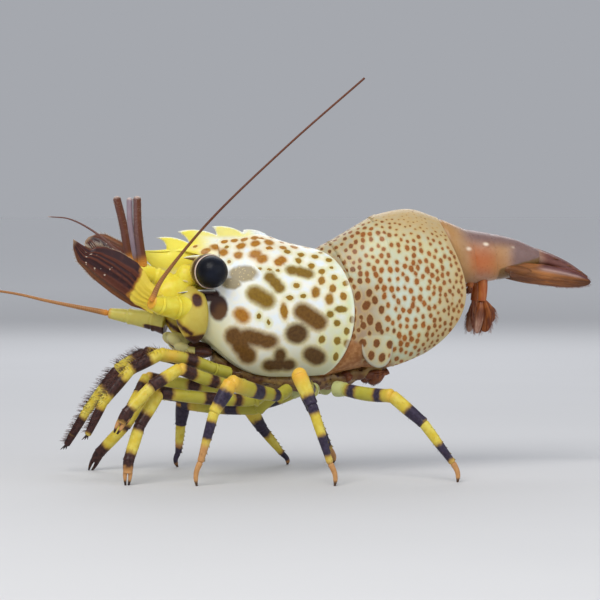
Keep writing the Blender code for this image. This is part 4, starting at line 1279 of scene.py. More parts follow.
def build_scales():
    """The two leaf-like antennal scales and their fringes."""
    pale = Bristles(51)
    ribs = ((0.66, 0.16, 0.06), (0.36, 0.09, 0.05), (0.05, 0.08, 0.05), (-0.3, 0.08, 0.05),
            (-0.6, 0.06, 0.05))
    for name, (root, tip, roll) in SCALES.items():
        shape = Shape()
        letter = name[-1]
        upper_edge, lower_edge = (np.array(edge, float) for edge in SCALE_MARGINS[letter])
        points, share, v = blade_rings(
            root, tip, roll,
            lambda s: np.interp(s, *lower_edge.T), lambda s: np.interp(s, *upper_edge.T),
            0.55, 110, 120, 0.5 if letter == "L" else -0.5, ribs,
        )
        streak = 0.5 + 0.5 * np.sin(v * 17 + 2.2 * np.sin(v * 5.0 + share * 2))
        random = np.random.default_rng(41)
        dots = np.full(share.shape, -1.0)
        for _ in range(16):
            place = np.array([random.uniform(0.45, 0.85), random.uniform(-0.6, 0.85)])
            away = np.hypot((share - place[0]) * 15, (v - place[1]) * 2.4)
            dots = np.maximum(dots, random.uniform(0.05, 0.14) - away)
        edge = smooth_step(v, 0.5, 0.95) * smooth_step(share, 0.10, 0.25)
        yellow = 4.6 - 0.3 * v - share * 15 - 3.0 * smooth_step(v, 0.6, 0.95)
        shape.sleeve(points, streak=streak, dots=dots, edge=edge * 0.7, root=yellow,
                     pale=smooth_step(share, 0.95, 1.0) * 0.6)
        shape.build(f"{name}_blade", SCALE_FINISH, "antennal_scale", (name,))
        along, across, normal = blade_frame(root, tip, roll)
        # The fringe: short all round, long in the notch between the spine and the rounded end.
        for column, sign, first, last, count, longest in (
            (60, -1, 0.45, 0.76, 60, 0.5), (60, -1, 0.74, 0.87, 190, 1.2), (0, 1, 0.62, 0.95, 120, 0.6),
        ):
            for step in range(count):
                s = first + (last - first) * step / (count - 1)
                place = points[int(s * 109)][column]
                clump = 0.5 + 0.5 * math.sin(step * 0.55)
                way = across * sign * 0.5 + along * (0.9 + 0.5 * clump) + normal * pale.random.normal(0, 0.14)
                length = pale.random.uniform(0.3, 0.6) * longest * (0.6 + clump)
                pale.add(place, way, length, 0.034, (s, 0.5 + 0.4 * sign), tone=pale.random.random() * 0.7)
    pale.build("antennal_scale_bristles", PALE_BRISTLES, "antennal_scale")


TAIL_BLADES = {
    "uropod_outer_L": ((32.2, -3.0, 28.2), (43.9, -3.1, 26.4), 3.1, 66),
    "uropod_outer_R": ((32.2, 3.0, 28.2), (43.9, 3.1, 26.4), 3.1, -66),
    "uropod_inner_L": ((34.8, -1.7, 28.9), (43.6, -1.9, 26.9), 2.7, 52),
    "uropod_inner_R": ((34.8, 1.7, 28.9), (43.6, 1.9, 26.9), 2.7, -52),
}


def leaf(share, widest):
    """Half the width of a rounded leaf at a share of its length; it starts nearly full."""
    swell = 0.74 + 0.26 * np.sin(math.pi / 2 * np.minimum(1.0, share / 0.45))
    return widest / 2 * swell * np.sqrt(np.clip(1 - np.clip((share - 0.30) / 0.70, 0, 1) ** 2.2, 0.0004, 1))


def above_middle(points):
    """How far each point lies above or below the middle of its row, from -1 to 1."""
    above = points[..., 2] - points[..., 2].mean(1, keepdims=True)
    return above / np.maximum(np.abs(above).max(1, keepdims=True), 1e-6)


def build_tail_fan():
    """The four side blades of the closed tail fan, with their fringes."""
    fringe = Bristles(61)
    ribs = ((0.0, 0.14, 0.10), (0.5, 0.07, 0.06), (-0.5, 0.07, 0.06), (0.78, 0.08, 0.05))
    for name, (root, tip, width, roll) in TAIL_BLADES.items():
        shape = Shape()
        outer = "outer" in name
        points, share, v = blade_rings(
            root, tip, roll, lambda s: -leaf(s, width), lambda s: leaf(s, width), 0.6, 80, 72, 0.35, ribs
        )
        side_ribs = 0.6 * np.exp(-(((np.abs(v) - 0.5) / 0.07) ** 2))
        above = above_middle(points)
        inner_length = smooth_step(share, 0.30, 0.45) * (1 - smooth_step(share, 0.82, 0.95))
        streak = np.exp(-(((above - 0.55) / 0.16) ** 2)) * inner_length
        glow = np.exp(-(((above - 0.25) / 0.28) ** 2)) * (1 - smooth_step(share, 0.45, 0.8))
        tip_dark = smooth_step(share, 0.55, 0.9) * (1 - smooth_step(above, -0.1, 0.5))
        root_dark = (1 - smooth_step(share, 0.1, 0.5)) * (1 - smooth_step(above, -0.1, 0.6)) * 0.8
        shape.sleeve(
            points, rib=np.maximum(np.exp(-((v / 0.1) ** 2)), side_ribs), orange=0.85 * glow,
            maroon=smooth_step(above, 0.45, 0.7) * smooth_step(share, 0.3, 0.45) * 0.95,
            dark=np.maximum(tip_dark * 0.85, root_dark), pale=0.7 * streak * outer,
        )
        # The joint that carries the two blades of this side.
        if outer:
            side = math.copysign(1, root[1])
            ball(shape, (33.4, 2.75 * side, 28.05), (2.2, 0.62, 0.72), 8, dark=0.45, orange=0.25)
        shape.build(f"{name}_blade", FAN_FINISH, "tail_shell", (name,))
        along, across, normal = blade_frame(root, tip, roll)
        for step in range(110):
            s = 0.55 + 0.44 * step / 109
            for column, sign in ((0, 1), (36, -1)):
                way = along + across * sign * (0.8 - 0.55 * s) + normal * fringe.random.normal(0, 0.08)
                length = fringe.random.uniform(0.22, 0.5)
                fringe.add(points[int(s * 79)][column], way, length, 0.028, (s, 0.5 + 0.4 * sign),
                           tone=fringe.random.random())
    fringe.build("tail_fan_bristles", RED_BRISTLES, "tail_shell")


def build_telson():
    """The middle blade of the tail: keeled, with small spines along its back and at its end."""
    shape = Shape()
    outer = lofted([
        section((36.2, 31.2), (36.2, 28.8), 1.7), section((38.6, 30.4), (38.6, 28.4), 1.6),
        section((41.6, 29.0), (41.5, 27.5), 1.1), section((44.4, 27.1), (44.1, 26.4), 0.5),
    ], 60, 96)
    share = np.linspace(0, 1, 60)[:, None]
    keel = np.exp(-((outer[..., 1] / 0.3) ** 2))
    outer[..., 2] += 0.14 * keel * (outer[..., 2] > outer[..., 2].mean(1, keepdims=True))
    shape.sleeve(outer, rib=keel, flesh=(1 - smooth_step(share, 0.0, 0.3)) * 0.7, maroon=0.8,
                 dark=smooth_step(share, 0.7, 1.0) * 0.7, pale=0.25 * keel)
    for row, x in enumerate((39.0, 41.0, 42.6)):
        for side in (-1, 1):
            y, z = (1.25 - 0.25 * row) * side, 29.9 - 0.49 * (x - 38.6)
            spine(shape, (x, y, z), (x + 0.8, y + 0.05 * side, z - 0.15), 0.09)
    for side in (-1, -0.4, 0.4, 1):
        spine(shape, (43.9, 0.35 * side, 26.8), (44.7 - 0.3 * abs(side), 0.5 * side, 26.3), 0.09)
    shape.build("telson_blade", FAN_FINISH, "tail_shell", ("telson",))


# ---------------------------------------------------------------- head

# The eyestalk's outline: distance from the eye's centre along the stalk, and radius there. It
# ends in a rim that turns in round the back of the cornea.
STALK = [(-5.2, 1.1), (-4.2, 1.5), (-3.2, 1.85), (-2.4, 2.12), (-1.8, 2.28), (-1.2, 2.37), (-0.7, 2.37),
         (-0.42, 2.34), (-0.27, 2.29), (-0.3, 2.2), (-0.7, 2.02), (-2.0, 0.9)]


def build_eyes():
    """Each eye's glossy cornea and the stalk whose rim holds it."""
    for side, letter in ((-1, "L"), (1, "R")):
        centre = np.array([EYE[0], abs(EYE[1]) * side, EYE[2]])
        shape = Shape()
        ball(shape, centre, (EYE_RADIUS,) * 3, 0, 64, 96)
        shape.build(f"eye_{letter}_cornea", EYE_FINISH, "eye_cornea", (f"eye_{letter}",))
        axis = unit(centre - np.array([-11.9, 0.45 * side, 28.6]))
        profile = smooth_path(STALK, 70)
        path = centre + axis * profile[:, :1]
        straight = tube_rings(centre + axis * np.linspace(-5.2, 0, 70)[:, None], 1.0, sides=64)
        across = straight - straight.mean(1, keepdims=True)
        rings = path[:, None] + across * profile[:, 1][:, None, None]
        along = np.clip((profile[:, 0] + 5.2) / 5.2, 0, 1)[:, None] * np.ones((1, 64))
        shape = Shape()
        shape.sleeve(rings, along=along)
        shape.build(f"eyestalk_{letter}_cup", STALK_FINISH, "face_shell", (f"eyestalk_{letter}",))


def mark_depth(points, marks):
    """Signed distance into the nearest of some strokes, seen from the side (ends, half width)."""
    depth = np.full(points.shape[:-1], UNMARKED)
    seen = points[..., [0, 2]]
    for start, end, half in marks:
        start, way = np.array(start), np.subtract(end, start)
        share = np.clip((seen - start) @ way / max(way @ way, 1e-9), 0, 1)
        away = np.linalg.norm(seen - start - share[..., None] * way, axis=-1)
        depth = np.maximum(depth, half - away)
    return depth


def build_head():
    """The head between the eyes, with the swellings that carry the antennules."""
    shape = Shape()
    outer = lofted([
        section((-8.2, 27.2), (-8.6, 18.0), 3.3, -0.8, 0.5), section((-11.0, 28.6), (-11.0, 19.2), 3.3),
        section((-13.4, 28.6), (-13.0, 20.6), 2.9), section((-14.8, 27.6), (-14.4, 22.2), 2.2),
    ], 50, 96)
    shape.sleeve(outer, green=(1 - smooth_step(outer[..., 2], 20.0, 23.5)) * 0.6, mark=UNMARKED)
    for side in (-1, 1):
        ball(shape, (-15.3, 3.0 * side, 25.2), (3.0, 1.7, 2.4), -20, mark=UNMARKED)
        ball(shape, (-13.3, 2.9 * side, 27.4), (1.6, 1.3, 1.8), 0, mark=UNMARKED)
    shape.build("head_skin", FACE_FINISH, "face_shell", ("head",))


# The big lobe of an antenna's base: the line through its middle on one side, top to bottom, and
# its dark strokes as seen from the side, with both ends and the half width of each.
LOBE = [(-13.0, 4.0, 26.0), (-13.0, 4.9, 24.6), (-13.0, 5.3, 22.4), (-12.7, 5.0, 20.4), (-12.4, 4.5, 18.6)]
LOBE_MARKS = [
    ((-12.5, 24.6), (-12.4, 24.2), 0.72), ((-15.7, 22.0), (-14.3, 20.6), 0.22),
    ((-14.3, 20.6), (-13.2, 19.8), 0.30), ((-13.4, 18.9), (-11.4, 19.1), 0.72),
    ((-13.0, 18.2), (-11.6, 18.2), 0.7),
]


def build_antenna_bases():
    """The big lobes below the eyes."""
    for side, letter in ((-1, "L"), (1, "R")):
        shape = Shape()
        path = smooth_path(LOBE, 44) * np.array([1, side, 1])
        share = np.linspace(0, 1, 44)
        swell = np.sin(math.pi * np.clip(share, 0.03, 0.985)) ** 0.5
        rings = tube_rings(path, (2.4 - 0.3 * share) * swell, 1.35 * swell, 72)
        warm = 0.3 * (1 - smooth_step(rings[..., 0], -15.4, -14.6))
        dull = smooth_step(rings[..., 0], -15.4, -13.2) * 0.7
        shape.sleeve(rings, mark=mark_depth(rings, LOBE_MARKS), warm=warm + 0.25 * dull, green=dull)
        shape.build(f"antenna_base_{letter}_lobe", FACE_FINISH, "face_shell", (f"antenna_base_{letter}",))


# The lobes round the mouth on one side: middle, size, tilt and how dark. The darkness is a painted shadow
# along the lower front edge of the carapace, over the rear lobes.
MOUTH_LOBES = [
    ((-14.9, 1.9, 18.9), (1.1, 0.9, 0.8), 35, 0.0), ((-13.9, 2.3, 17.9), (1.2, 0.9, 0.7), 20, 0.0),
    ((-12.6, 2.4, 17.3), (1.2, 1.0, 0.7), 10, 0.5), ((-11.2, 2.6, 17.2), (1.5, 1.1, 0.8), 5, 1.0),
    ((-14.0, 0.8, 18.6), (1.5, 0.9, 1.1), 30, 0.3), ((-11.4, 1.2, 17.7), (1.8, 1.0, 0.9), 8, 1.0),
]


def build_mouthparts():
    """Overlapping lobes round the mouth, barred with dark brown, the rear ones darkened by a painted shadow
    from the carapace's front edge and the front ones paler.
    """
    shape = Shape()
    polar = np.linspace(0.06, math.pi - 0.06, 24)[:, None]
    for side in (-1, 1):
        for centre, size, tilt, shade in MOUTH_LOBES:
            ball(shape, np.array(centre) * (1, side, 1), size, tilt, green=0.8, pale=0.4 * (1 - shade),
                 mark=0.6 * np.cos(polar * 2 + 0.9) - 0.75 + 1.6 * shade)
    shape.build("mouthparts_lobes", FACE_FINISH, "mouth_underside", ("mouthparts",))


def build_underside():
    """The soft skin under the thorax, in uneven folds."""
    shape = Shape()
    outer = lofted([
        section((-9.5, 17.4), (-9.3, 15.2), 1.9), section((-6.0, 15.4), (-5.6, 13.0), 3.0),
        section((-1.0, 14.6), (-1.0, 11.9), 3.5), section((4.5, 14.6), (4.5, 11.8), 3.4),
        section((9.4, 15.2), (9.6, 12.6), 2.9), section((14.5, 16.8), (14.5, 14.6), 3.0),
        section((19.0, 18.6), (19.0, 17.0), 2.6),
    ], 120, 64)
    wave = 0.22 * np.sin(outer[..., 0] * 2.1) * np.sin(outer[..., 1] * 1.9 + 0.4)
    outer[..., 2] += wave - 0.15 * np.cos(outer[..., 1] * 5.0)
    shape.sleeve(outer)
    shape.build("underside_skin", SKIN_FINISH, "mouth_underside", ("thorax_underside",))


# ---------------------------------------------------------------- feelers

# The jointed stems that carry the feelers, and then the feelers themselves, from root to tip.
PEDUNCLES = {
    "antenna_peduncle_L": [(-13.4, -4.9, 23.4), (-15.4, -5.8, 23.4), (-17.6, -7.2, 23.8),
                           (-19.0, -8.0, 24.3)],
    "antenna_peduncle_R": [(-14.8, 5.4, 20.9), (-16.4, 6.2, 21.2), (-19.4, 7.8, 21.7), (-22.3, 9.0, 22.15)],
}
ANTENNULE_PEDUNCLES = {
    "antennule_peduncle_L": [(-12.6, -2.0, 25.9), (-13.6, -2.1, 26.2), (-16.6, -2.5, 27.3),
                             (-20.0, -2.6, 28.5)],
    "antennule_peduncle_R": [(-12.6, 2.0, 26.1), (-13.6, 2.1, 26.4), (-16.6, 2.5, 27.6), (-20.2, 2.6, 29.0)],
}
FLAGELLA = {
    "antenna_flagellum_L": [(-19.0, -8.1, 24.4), (-17.2, -9.0, 28.0), (-11.1, -12.0, 35.8),
                            (-1.1, -12.5, 45.3), (9.5, -11.0, 54.2)],
    "antenna_flagellum_R": [(-22.4, 9.1, 22.15), (-30.0, 12.0, 23.7), (-36.8, 15.0, 25.1),
                            (-49.0, 21.0, 26.1), (-62.7, 27.0, 25.6)],
}

# The antennules' branches: route, and the radii at root and tip.
ANTENNULES = {
    "antennule_outer_L": ([(-19.4, -2.8, 28.8), (-19.4, -3.0, 29.7), (-19.7, -3.1, 31.4),
                           (-20.1, -3.4, 34.6), (-20.2, -3.6, 38.4)], 0.62, 0.52),
    "antennule_outer_R": ([(-20.0, 2.9, 29.2), (-20.3, 3.0, 30.2), (-20.7, 3.1, 32.2), (-21.1, 3.3, 34.6),
                           (-22.0, 3.6, 38.4)], 0.60, 0.54),
    "antennule_inner_L": ([(-19.8, -2.1, 28.8), (-20.1, -2.3, 29.7), (-20.6, -2.7, 32.0),
                           (-21.1, -3.1, 35.0), (-21.2, -3.3, 38.2)], 0.42, 0.40),
    "antennule_inner_R": ([(-20.4, 2.2, 29.2), (-21.1, 2.0, 29.9), (-24.6, 3.6, 33.2), (-28.0, 5.4, 35.2),
                           (-31.0, 7.0, 35.6)], 0.22, 0.07),
}
# How strongly each antennule is painted grey-purple: on the outer ones as a painted sheen along the side
# facing forward and to the left, on the inner ones evenly.
GREY_SHEEN = {"antennule_inner_L": 0.95, "antennule_outer_L": 0.25}


def segmented(path, breaks, base, tip, rows):
    """A stem of several joints: radii that neck in at each break and swell just before it."""
    share = np.linspace(0, 1, rows)
    radii = base + (tip - base) * share
    for place in breaks:
        radii = radii * (1 + 0.10 * np.exp(-(((share - place + 0.03) / 0.03) ** 2)))
        radii = radii * (1 - 0.16 * np.exp(-(((share - place) / 0.012) ** 2)))
    radii[0] *= 0.7
    radii[-1] *= 0.8
    return smooth_path(path, rows), radii, share


def build_peduncles():
    """The stems of the long feelers, each ending in a cup, and those of the antennules."""
    for name, route in PEDUNCLES.items():
        near = name.endswith("L")
        path, radii, share = segmented(route, (0.36, 0.72), 1.75, 1.0 if near else 0.72, 60)
        rings = tube_rings(path, radii, radii * 0.9, 40)
        # The cup at the end: its wall turns in round the foot of the feeler.
        rings = np.concatenate([rings, rings[-1:] * 0.75 + rings[-1:].mean(1, keepdims=True) * 0.25])
        share = np.append(share, 1.0)[:, None]
        colours = dict(mark=UNMARKED, warm=smooth_step(share, 0.93, 1.0) * 0.8)
        if not near:
            # On the far stem the inner part is greener, and its underside is darkened as painted shade.
            below = smooth_step(rings.mean(1)[:, None, 2] - rings[..., 2], 0.25, 0.75)
            inner = 1 - smooth_step(share, 0.40, 0.55)
            colours |= dict(mark=1.3 * below * inner - 0.9, green=0.62 - 0.12 * share, pale=0.1)
        shape = Shape()
        shape.sleeve(rings, **colours)
        shape.build(f"{name}_stem", FACE_FINISH, "face_shell", (name,))
    for name, route in ANTENNULE_PEDUNCLES.items():
        path, radii, _ = segmented(route, (0.55, 0.78), 1.2, 1.0, 60)
        shape = Shape()
        shape.sleeve(tube_rings(path, radii, radii * 0.95, 40), mark=UNMARKED)
        side = np.sign(route[0][1])
        spine(shape, (-12.6, 3.4 * side, 26.6), (-14.1, 4.2 * side, 27.0), 0.35, (0, 0.1 * side, 0.05),
              pale=0.6, warm=0.15, mark=UNMARKED)
        shape.build(f"{name}_stem", FACE_FINISH, "face_shell", (name,))


def ringed_path(route, rows, rings):
    """A feeler's path, the share of its length at each point, and the beat of its rings."""
    path = smooth_path(route, rows)
    share = distance_along(path) / distance_along(path)[-1]
    return path, share, share * rings * 2 * math.pi


def build_flagella():
    """The two long feelers, faintly ringed."""
    for name, route in FLAGELLA.items():
        path, share, beat = ringed_path(route, 420, 150)
        if name.endswith("L"):
            radii = 0.15 + 0.30 * np.exp(-share / 0.12)
            light = 0.8 * (1 - smooth_step(share, 0.04, 0.36))
        else:
            radii = 0.13 + 0.32 * np.exp(-share / 0.17)
            light = 0.85 + 0.15 * np.sin(share * 9)
        radii = radii * (1 + 0.045 * np.sin(beat))
        radii[:3] *= 0.85
        root = (1 - smooth_step(share, 0.0, 0.035)) * 0.8
        shape = Shape()
        shape.sleeve(tube_rings(path, radii, sides=12), ring=beat[:, None], light=light[:, None],
                     root=root[:, None])
        shape.build(f"{name}_lash", FEELER_FINISH, "feeler", (name,))


def build_antennules():
    """The short branches in front of the eyes; the two outer ones are tufted towards their tips."""
    tufts = Bristles(71)
    rows, cols = 130, 20
    for name, (route, base, tip) in ANTENNULES.items():
        path, share, beat = ringed_path(route, rows, 34)
        outer = "outer" in name
        radii = (base + (tip - base) * share) * (1 + 0.03 * np.sin(beat))
        radii[-3:] *= np.array([0.9, 0.7, 0.35])
        rings = tube_rings(path, radii, sides=cols)
        # A purple-grey painted sheen on the side of the outer branches that faces forward and to the left;
        # the inner branches are tinted evenly.
        facing = (rings - path[:, None]) @ np.array([-0.75, -0.65, 0.0]) / radii[:, None]
        stripe = smooth_step(facing, *((0.62, 0.95) if outer else (-1.5, -1.2)))
        stripe = stripe * GREY_SHEEN.get(name, 0.1) * smooth_step(share, 0.05, 0.25)[:, None]
        root = (1 - smooth_step(share, 0.04, 0.20)) * 0.9
        pale = smooth_step(share, 0.95, 1.0) * 0.7
        shape = Shape()
        shape.sleeve(rings, ring=beat[:, None], stripe=stripe, root=root[:, None], pale=pale[:, None])
        shape.build(f"{name}_lash", FEELER_FINISH, "feeler", (name,))
        for _ in range(150 * outer):
            s = 0.55 + 0.45 * tufts.random.random() ** 0.7
            row, col = int(s * (rows - 1)), tufts.random.integers(cols)
            way = unit(rings[row][col] - path[row]) * 0.8 + unit(path[-1] - path[-8]) * 0.8
            tufts.add(rings[row][col], way, tufts.random.uniform(0.15, 0.34), 0.02, (s, col / cols),
                      tone=tufts.random.random() * 0.4)
    tufts.build("antennule_bristles", PALE_BRISTLES, "feeler")


# ---------------------------------------------------------------- limbs

# Each limb's joints from the thorax outwards, as the solids have them.
LIMBS = {
    "pereiopod_2_L": [(-2.4, -3.5, 12.0), (-4.2, -4.6, 10.6), (-17.9, -8.0, 12.2), (-20.7, -9.0, 8.0),
                      (-22.4, -9.9, 3.2), (-22.6, -10.0, 0)],
    "pereiopod_2_R": [(-1.8, 3.5, 11.8), (-3.4, 4.6, 10.2), (-16.6, 9.0, 11.0), (-19.9, 10.0, 6.3),
                      (-23.4, 11.4, 2.4), (-24.6, 11.8, 0)],
    "pereiopod_3_L": [(0.6, -3.5, 12.0), (-1.0, -5.2, 11.3), (-8.9, -12.0, 13.6), (-11.3, -12.6, 9.8),
                      (-13.2, -12.8, 3.2), (-13.7, -12.8, 0)],
    "pereiopod_3_R": [(1.0, 3.5, 11.8), (-1.6, 6.2, 8.7), (-11.3, 12.0, 9.4), (-11.5, 13.0, 6.2),
                      (-11.7, 14.0, 2.0), (-11.8, 14.0, 0)],
    "pereiopod_4_L": [(4.2, -3.5, 12.0), (3.6, -5.4, 11.9), (-0.1, -14.0, 14.6), (1.3, -15.4, 10.9),
                      (3.6, -16.4, 3.0), (4.2, -16.5, 0)],
    "pereiopod_4_R": [(4.4, 3.5, 11.8), (3.2, 5.0, 11.0), (-2.1, 12.0, 8.9), (0.2, 13.0, 5.4),
                      (3.4, 14.2, 1.6), (4.2, 14.4, 0)],
    "pereiopod_5_L": [(7.2, -3.4, 12.0), (8.2, -4.8, 12.0), (13.3, -11.0, 11.5), (17.2, -13.0, 7.9),
                      (20.8, -14.9, 2.6), (21.4, -15.1, 0)],
    "pereiopod_5_R": [(7.4, 3.4, 11.8), (7.6, 5.0, 11.6), (5.6, 12.0, 12.0), (7.7, 14.0, 8.0),
                      (10.6, 15.0, 2.0), (11.1, 15.1, 0)],
    "maxilliped_L": [(-7.4, -3.3, 14.3), (-9.6, -4.2, 14.9), (-17.6, -6.5, 17.2), (-21.7, -7.5, 15.3),
                     (-25.4, -8.0, 11.1), (-27.7, -8.5, 6.6)],
    "maxilliped_R": [(-7.4, 3.3, 14.1), (-9.6, 4.2, 14.6), (-17.6, 6.5, 16.7), (-21.3, 7.5, 14.4),
                     (-25.6, 8.0, 8.6), (-28.4, 8.5, 3.8)],
    "pereiopod_1_L": [(-5.4, -3.3, 12.8), (-7.2, -4.9, 12.6), (-15.3, -9.0, 15.4), (-19.2, -10.0, 13.2),
                      (-22.8, -10.5, 9.6), (-24.2, -10.6, 7.0)],
    "pereiopod_1_R": [(-5.0, 3.3, 12.2), (-6.6, 4.8, 11.9), (-17.4, 6.4, 13.3), (-18.7, 5.0, 11.3),
                      (-20.3, 3.6, 8.8), (-21.1, 3.1, 7.1)],
}

# Dark bands: place along the limb, counted in joints, and half length. Some bands near place 1.1 to 1.5,
# below the carapace, also stand in for its shade there: painted shade.
BANDS_AND_SHADE = {
    "pereiopod_2_L": [(1.20, 0.5), (1.48, 0.8), (1.93, 0.9), (2.93, 1.3), (3.95, 0.95)],
    "pereiopod_2_R": [(1.2, 1.1), (1.7, 1.2), (3.0, 0.5), (4.2, 2.0)],
    "pereiopod_3_L": [(1.48, 1.0), (1.12, 0.6), (2.55, 1.0), (3.38, 1.15)],
    "pereiopod_3_R": [(1.35, 0.95), (1.95, 0.8), (2.6, 1.4), (4.1, 1.2)],
    "pereiopod_4_L": [(1.30, 0.8), (1.65, 0.6), (3.02, 1.3), (3.70, 1.3)],
    "pereiopod_4_R": [(1.4, 0.9), (1.9, 0.8), (2.97, 1.5), (4.2, 0.8)],
    "pereiopod_5_L": [(1.20, 0.6), (1.73, 0.55), (2.75, 1.3), (3.73, 1.2)],
    "pereiopod_5_R": [(1.25, 0.6), (1.75, 0.6), (2.8, 1.2), (3.75, 1.1)],
    "maxilliped_L": [(1.45, 0.8), (2.65, 1.2), (3.55, 1.2), (4.6, 1.7)],
    "maxilliped_R": [(1.45, 0.9), (2.12, 1.2), (3.23, 1.5), (4.47, 1.4), (4.9, 1.2)],
    "pereiopod_1_L": [(0.6, 0.7), (1.40, 0.7), (1.83, 0.9), (2.83, 1.1), (4.0, 1.1)],
    "pereiopod_1_R": [(1.4, 0.8), (1.85, 0.8), (2.8, 0.9), (4.0, 0.9)],
}

# Radii at the six joints of each kind of limb, from the thorax to the tip.
THICKNESS = {
    "maxilliped": (0.85, 0.82, 0.86, 0.80, 0.68, 0.46),
    "pereiopod_1": (0.85, 0.82, 0.84, 0.80, 0.72, 0.62),
    "pereiopod_2": (0.90, 0.82, 0.84, 0.80, 0.74, 0.62),
    "pereiopod_3": (0.95, 0.86, 1.10, 0.76, 0.43, 0.27),
    "pereiopod_4": (0.95, 0.86, 1.12, 0.78, 0.43, 0.27),
    "pereiopod_5": (1.15, 0.90, 0.92, 0.76, 0.44, 0.27),
}
CHELATE = ("pereiopod_1", "pereiopod_2")

# Where along each kind of limb, counted in joints, the pink of its end starts.
PINK_FROM = {"maxilliped": 5.2, "pereiopod_1": 4.3, "pereiopod_2": 4.0, "pereiopod_3": 3.55,
             "pereiopod_4": 3.85, "pereiopod_5": 3.85}

# The share of a clawed leg's last joint that is its palm.
PALM = 0.45


def band_depth(name, place, lengths):
    """Signed distance in mm into the nearest dark band, some of them partly painted shade; place counts
    joints along the limb.
    """
    at = np.interp(place, np.arange(len(lengths)), lengths)
    depth = np.full(np.shape(place), UNBANDED)
    for middle, half in BANDS_AND_SHADE[name]:
        centre = np.interp(middle, np.arange(len(lengths)), lengths)
        depth = np.maximum(depth, half - np.abs(at - centre))
    return depth


def joint_profile(share, start, end, distal):
    """Radius along one joint of a limb: a slight neck, a long swell and a slightly flared end."""
    swell = 0.94 + 0.10 * np.sin(math.pi * np.clip(share, 0, 1))
    flare = 0.09 * np.exp(-(((share - 0.95) / 0.06) ** 2)) * distal
    neck = 0.10 * np.exp(-((share / 0.05) ** 2))
    caps = np.sqrt(np.clip(np.minimum(share * 14 + 0.3, (1 - share) * 22 + 0.3), 0, 1))
    return (start + (end - start) * share) * (swell + flare - neck) * caps


def limb_values(name, place, lengths, claw=0.0):
    """The named values that colour a limb at a place along it, counted in joints."""
    kind = name[:-2]
    walking = kind in ("pereiopod_3", "pereiopod_4", "pereiopod_5")
    if kind in ("pereiopod_3", "pereiopod_4"):
        knee = np.exp(-(((place - 2.08) / 0.24) ** 2))
    elif kind == "maxilliped":
        knee = 0.6 * np.exp(-(((place - 1.8) / 0.14) ** 2))
    else:
        knee = 0.7 * np.exp(-(((place - 2.0) / 0.12) ** 2))
    return dict(
        band=band_depth(name, place, lengths),
        warm=np.clip(knee, 0, 1),
        green=(1 - smooth_step(place, 1.5, 2.3)) * 0.85,
        pale=(1 - smooth_step(place, 0.7, 1.25)) * 0.8 * (kind in ("pereiopod_4", "pereiopod_5")),
        pink=smooth_step(place, PINK_FROM[kind], PINK_FROM[kind] + 0.2) * 0.9,
        cool=float(walking),
        claw=claw,
    )


def add_joint(shape, name, index, ends, radii, lengths, bend=0.0, reach=1.0, last=False):
    """One joint of a limb between its two ends; reach is how much of a joint's count it covers."""
    share = np.linspace(0, 1, 46)
    start, end = np.asarray(ends[0], float), np.asarray(ends[1], float)
    way = unit(end - start)
    overlap = 0.0 if last else radii[1] * 0.32
    path = start - way * radii[0] * 0.25 * (index > 0)
    path = path + (end + way * overlap - path) * share[:, None]
    path = path + np.array([0, 0, bend]) * np.sin(math.pi * share)[:, None]
    profile = joint_profile(share, *radii, 0.0 if last else 1.0)
    rings = tube_rings(path, profile, profile * 0.9, 28)
    place = (index + share * reach)[:, None]
    shape.sleeve(rings, **limb_values(name, place, lengths))
    return rings


def add_toe(shape, name, joints, radii, lengths):
    """A walking leg's last joint: a tapering claw that ends in a small flat on the floor."""
    start, foot = np.asarray(joints[4], float), np.asarray(joints[5], float)
    share = np.linspace(0, 1, 40)
    path = start + (foot - start) * share[:, None]
    path = path + np.array([0.34 * np.sign(foot[0] - start[0]), 0, 0]) * np.sin(math.pi * share)[:, None]
    profile = (radii[0] + (radii[1] - radii[0]) * share**0.8) * np.sqrt(np.clip(share * 14 + 0.3, 0, 1))
    profile = profile * (1 - 0.45 * smooth_step(share, 0.7, 1.0))
    rings = tube_rings(path, profile, profile * 0.88, 20)
    rings[-1, :, 2] = 0.0
    rings[..., 2] = np.maximum(rings[..., 2], 0.0)
    place = (4 + share)[:, None]
    shape.sleeve(rings, **limb_values(name, place, lengths, smooth_step(place, 4.72, 4.9) * 0.9))


def add_fingers(shape, name, joints, radii, lengths, floor):
    """A short palm, then two slim fingers closing on each other, dark at their tips."""
    start, end = np.asarray(joints[4], float), np.asarray(joints[5], float)
    wrist = start + (end - start) * PALM
    add_joint(shape, name, 4, (start, wrist), radii, lengths, reach=PALM)
    way = end - wrist
    apart = unit(np.cross(way, [0.15, 1.0, 0.1]))
    share = np.linspace(0, 1, 34)
    for sign in (-1, 1):
        gap = 0.27 + 0.10 * np.sin(math.pi * share**0.7) - 0.06 * share
        path = wrist - way * 0.1 + way * 1.1 * share[:, None] + apart * sign * gap[:, None]
        profile = radii[1] * 0.55 * (1 - 0.62 * share) * np.sqrt(np.clip(share * 14 + 0.3, 0, 1))
        rings = tube_rings(path, profile, profile * 1.3, 16)
        if floor:
            rings[-1, :, 2] = 0.0
            rings[..., 2] = np.maximum(rings[..., 2], 0.0)
        place = (4 + PALM + (1 - PALM) * share)[:, None]
        values = limb_values(name, place, lengths, smooth_step(share, 0.55, 0.8)[:, None])
        values["band"] = values["band"] - 0.2
        shape.sleeve(rings, **values)


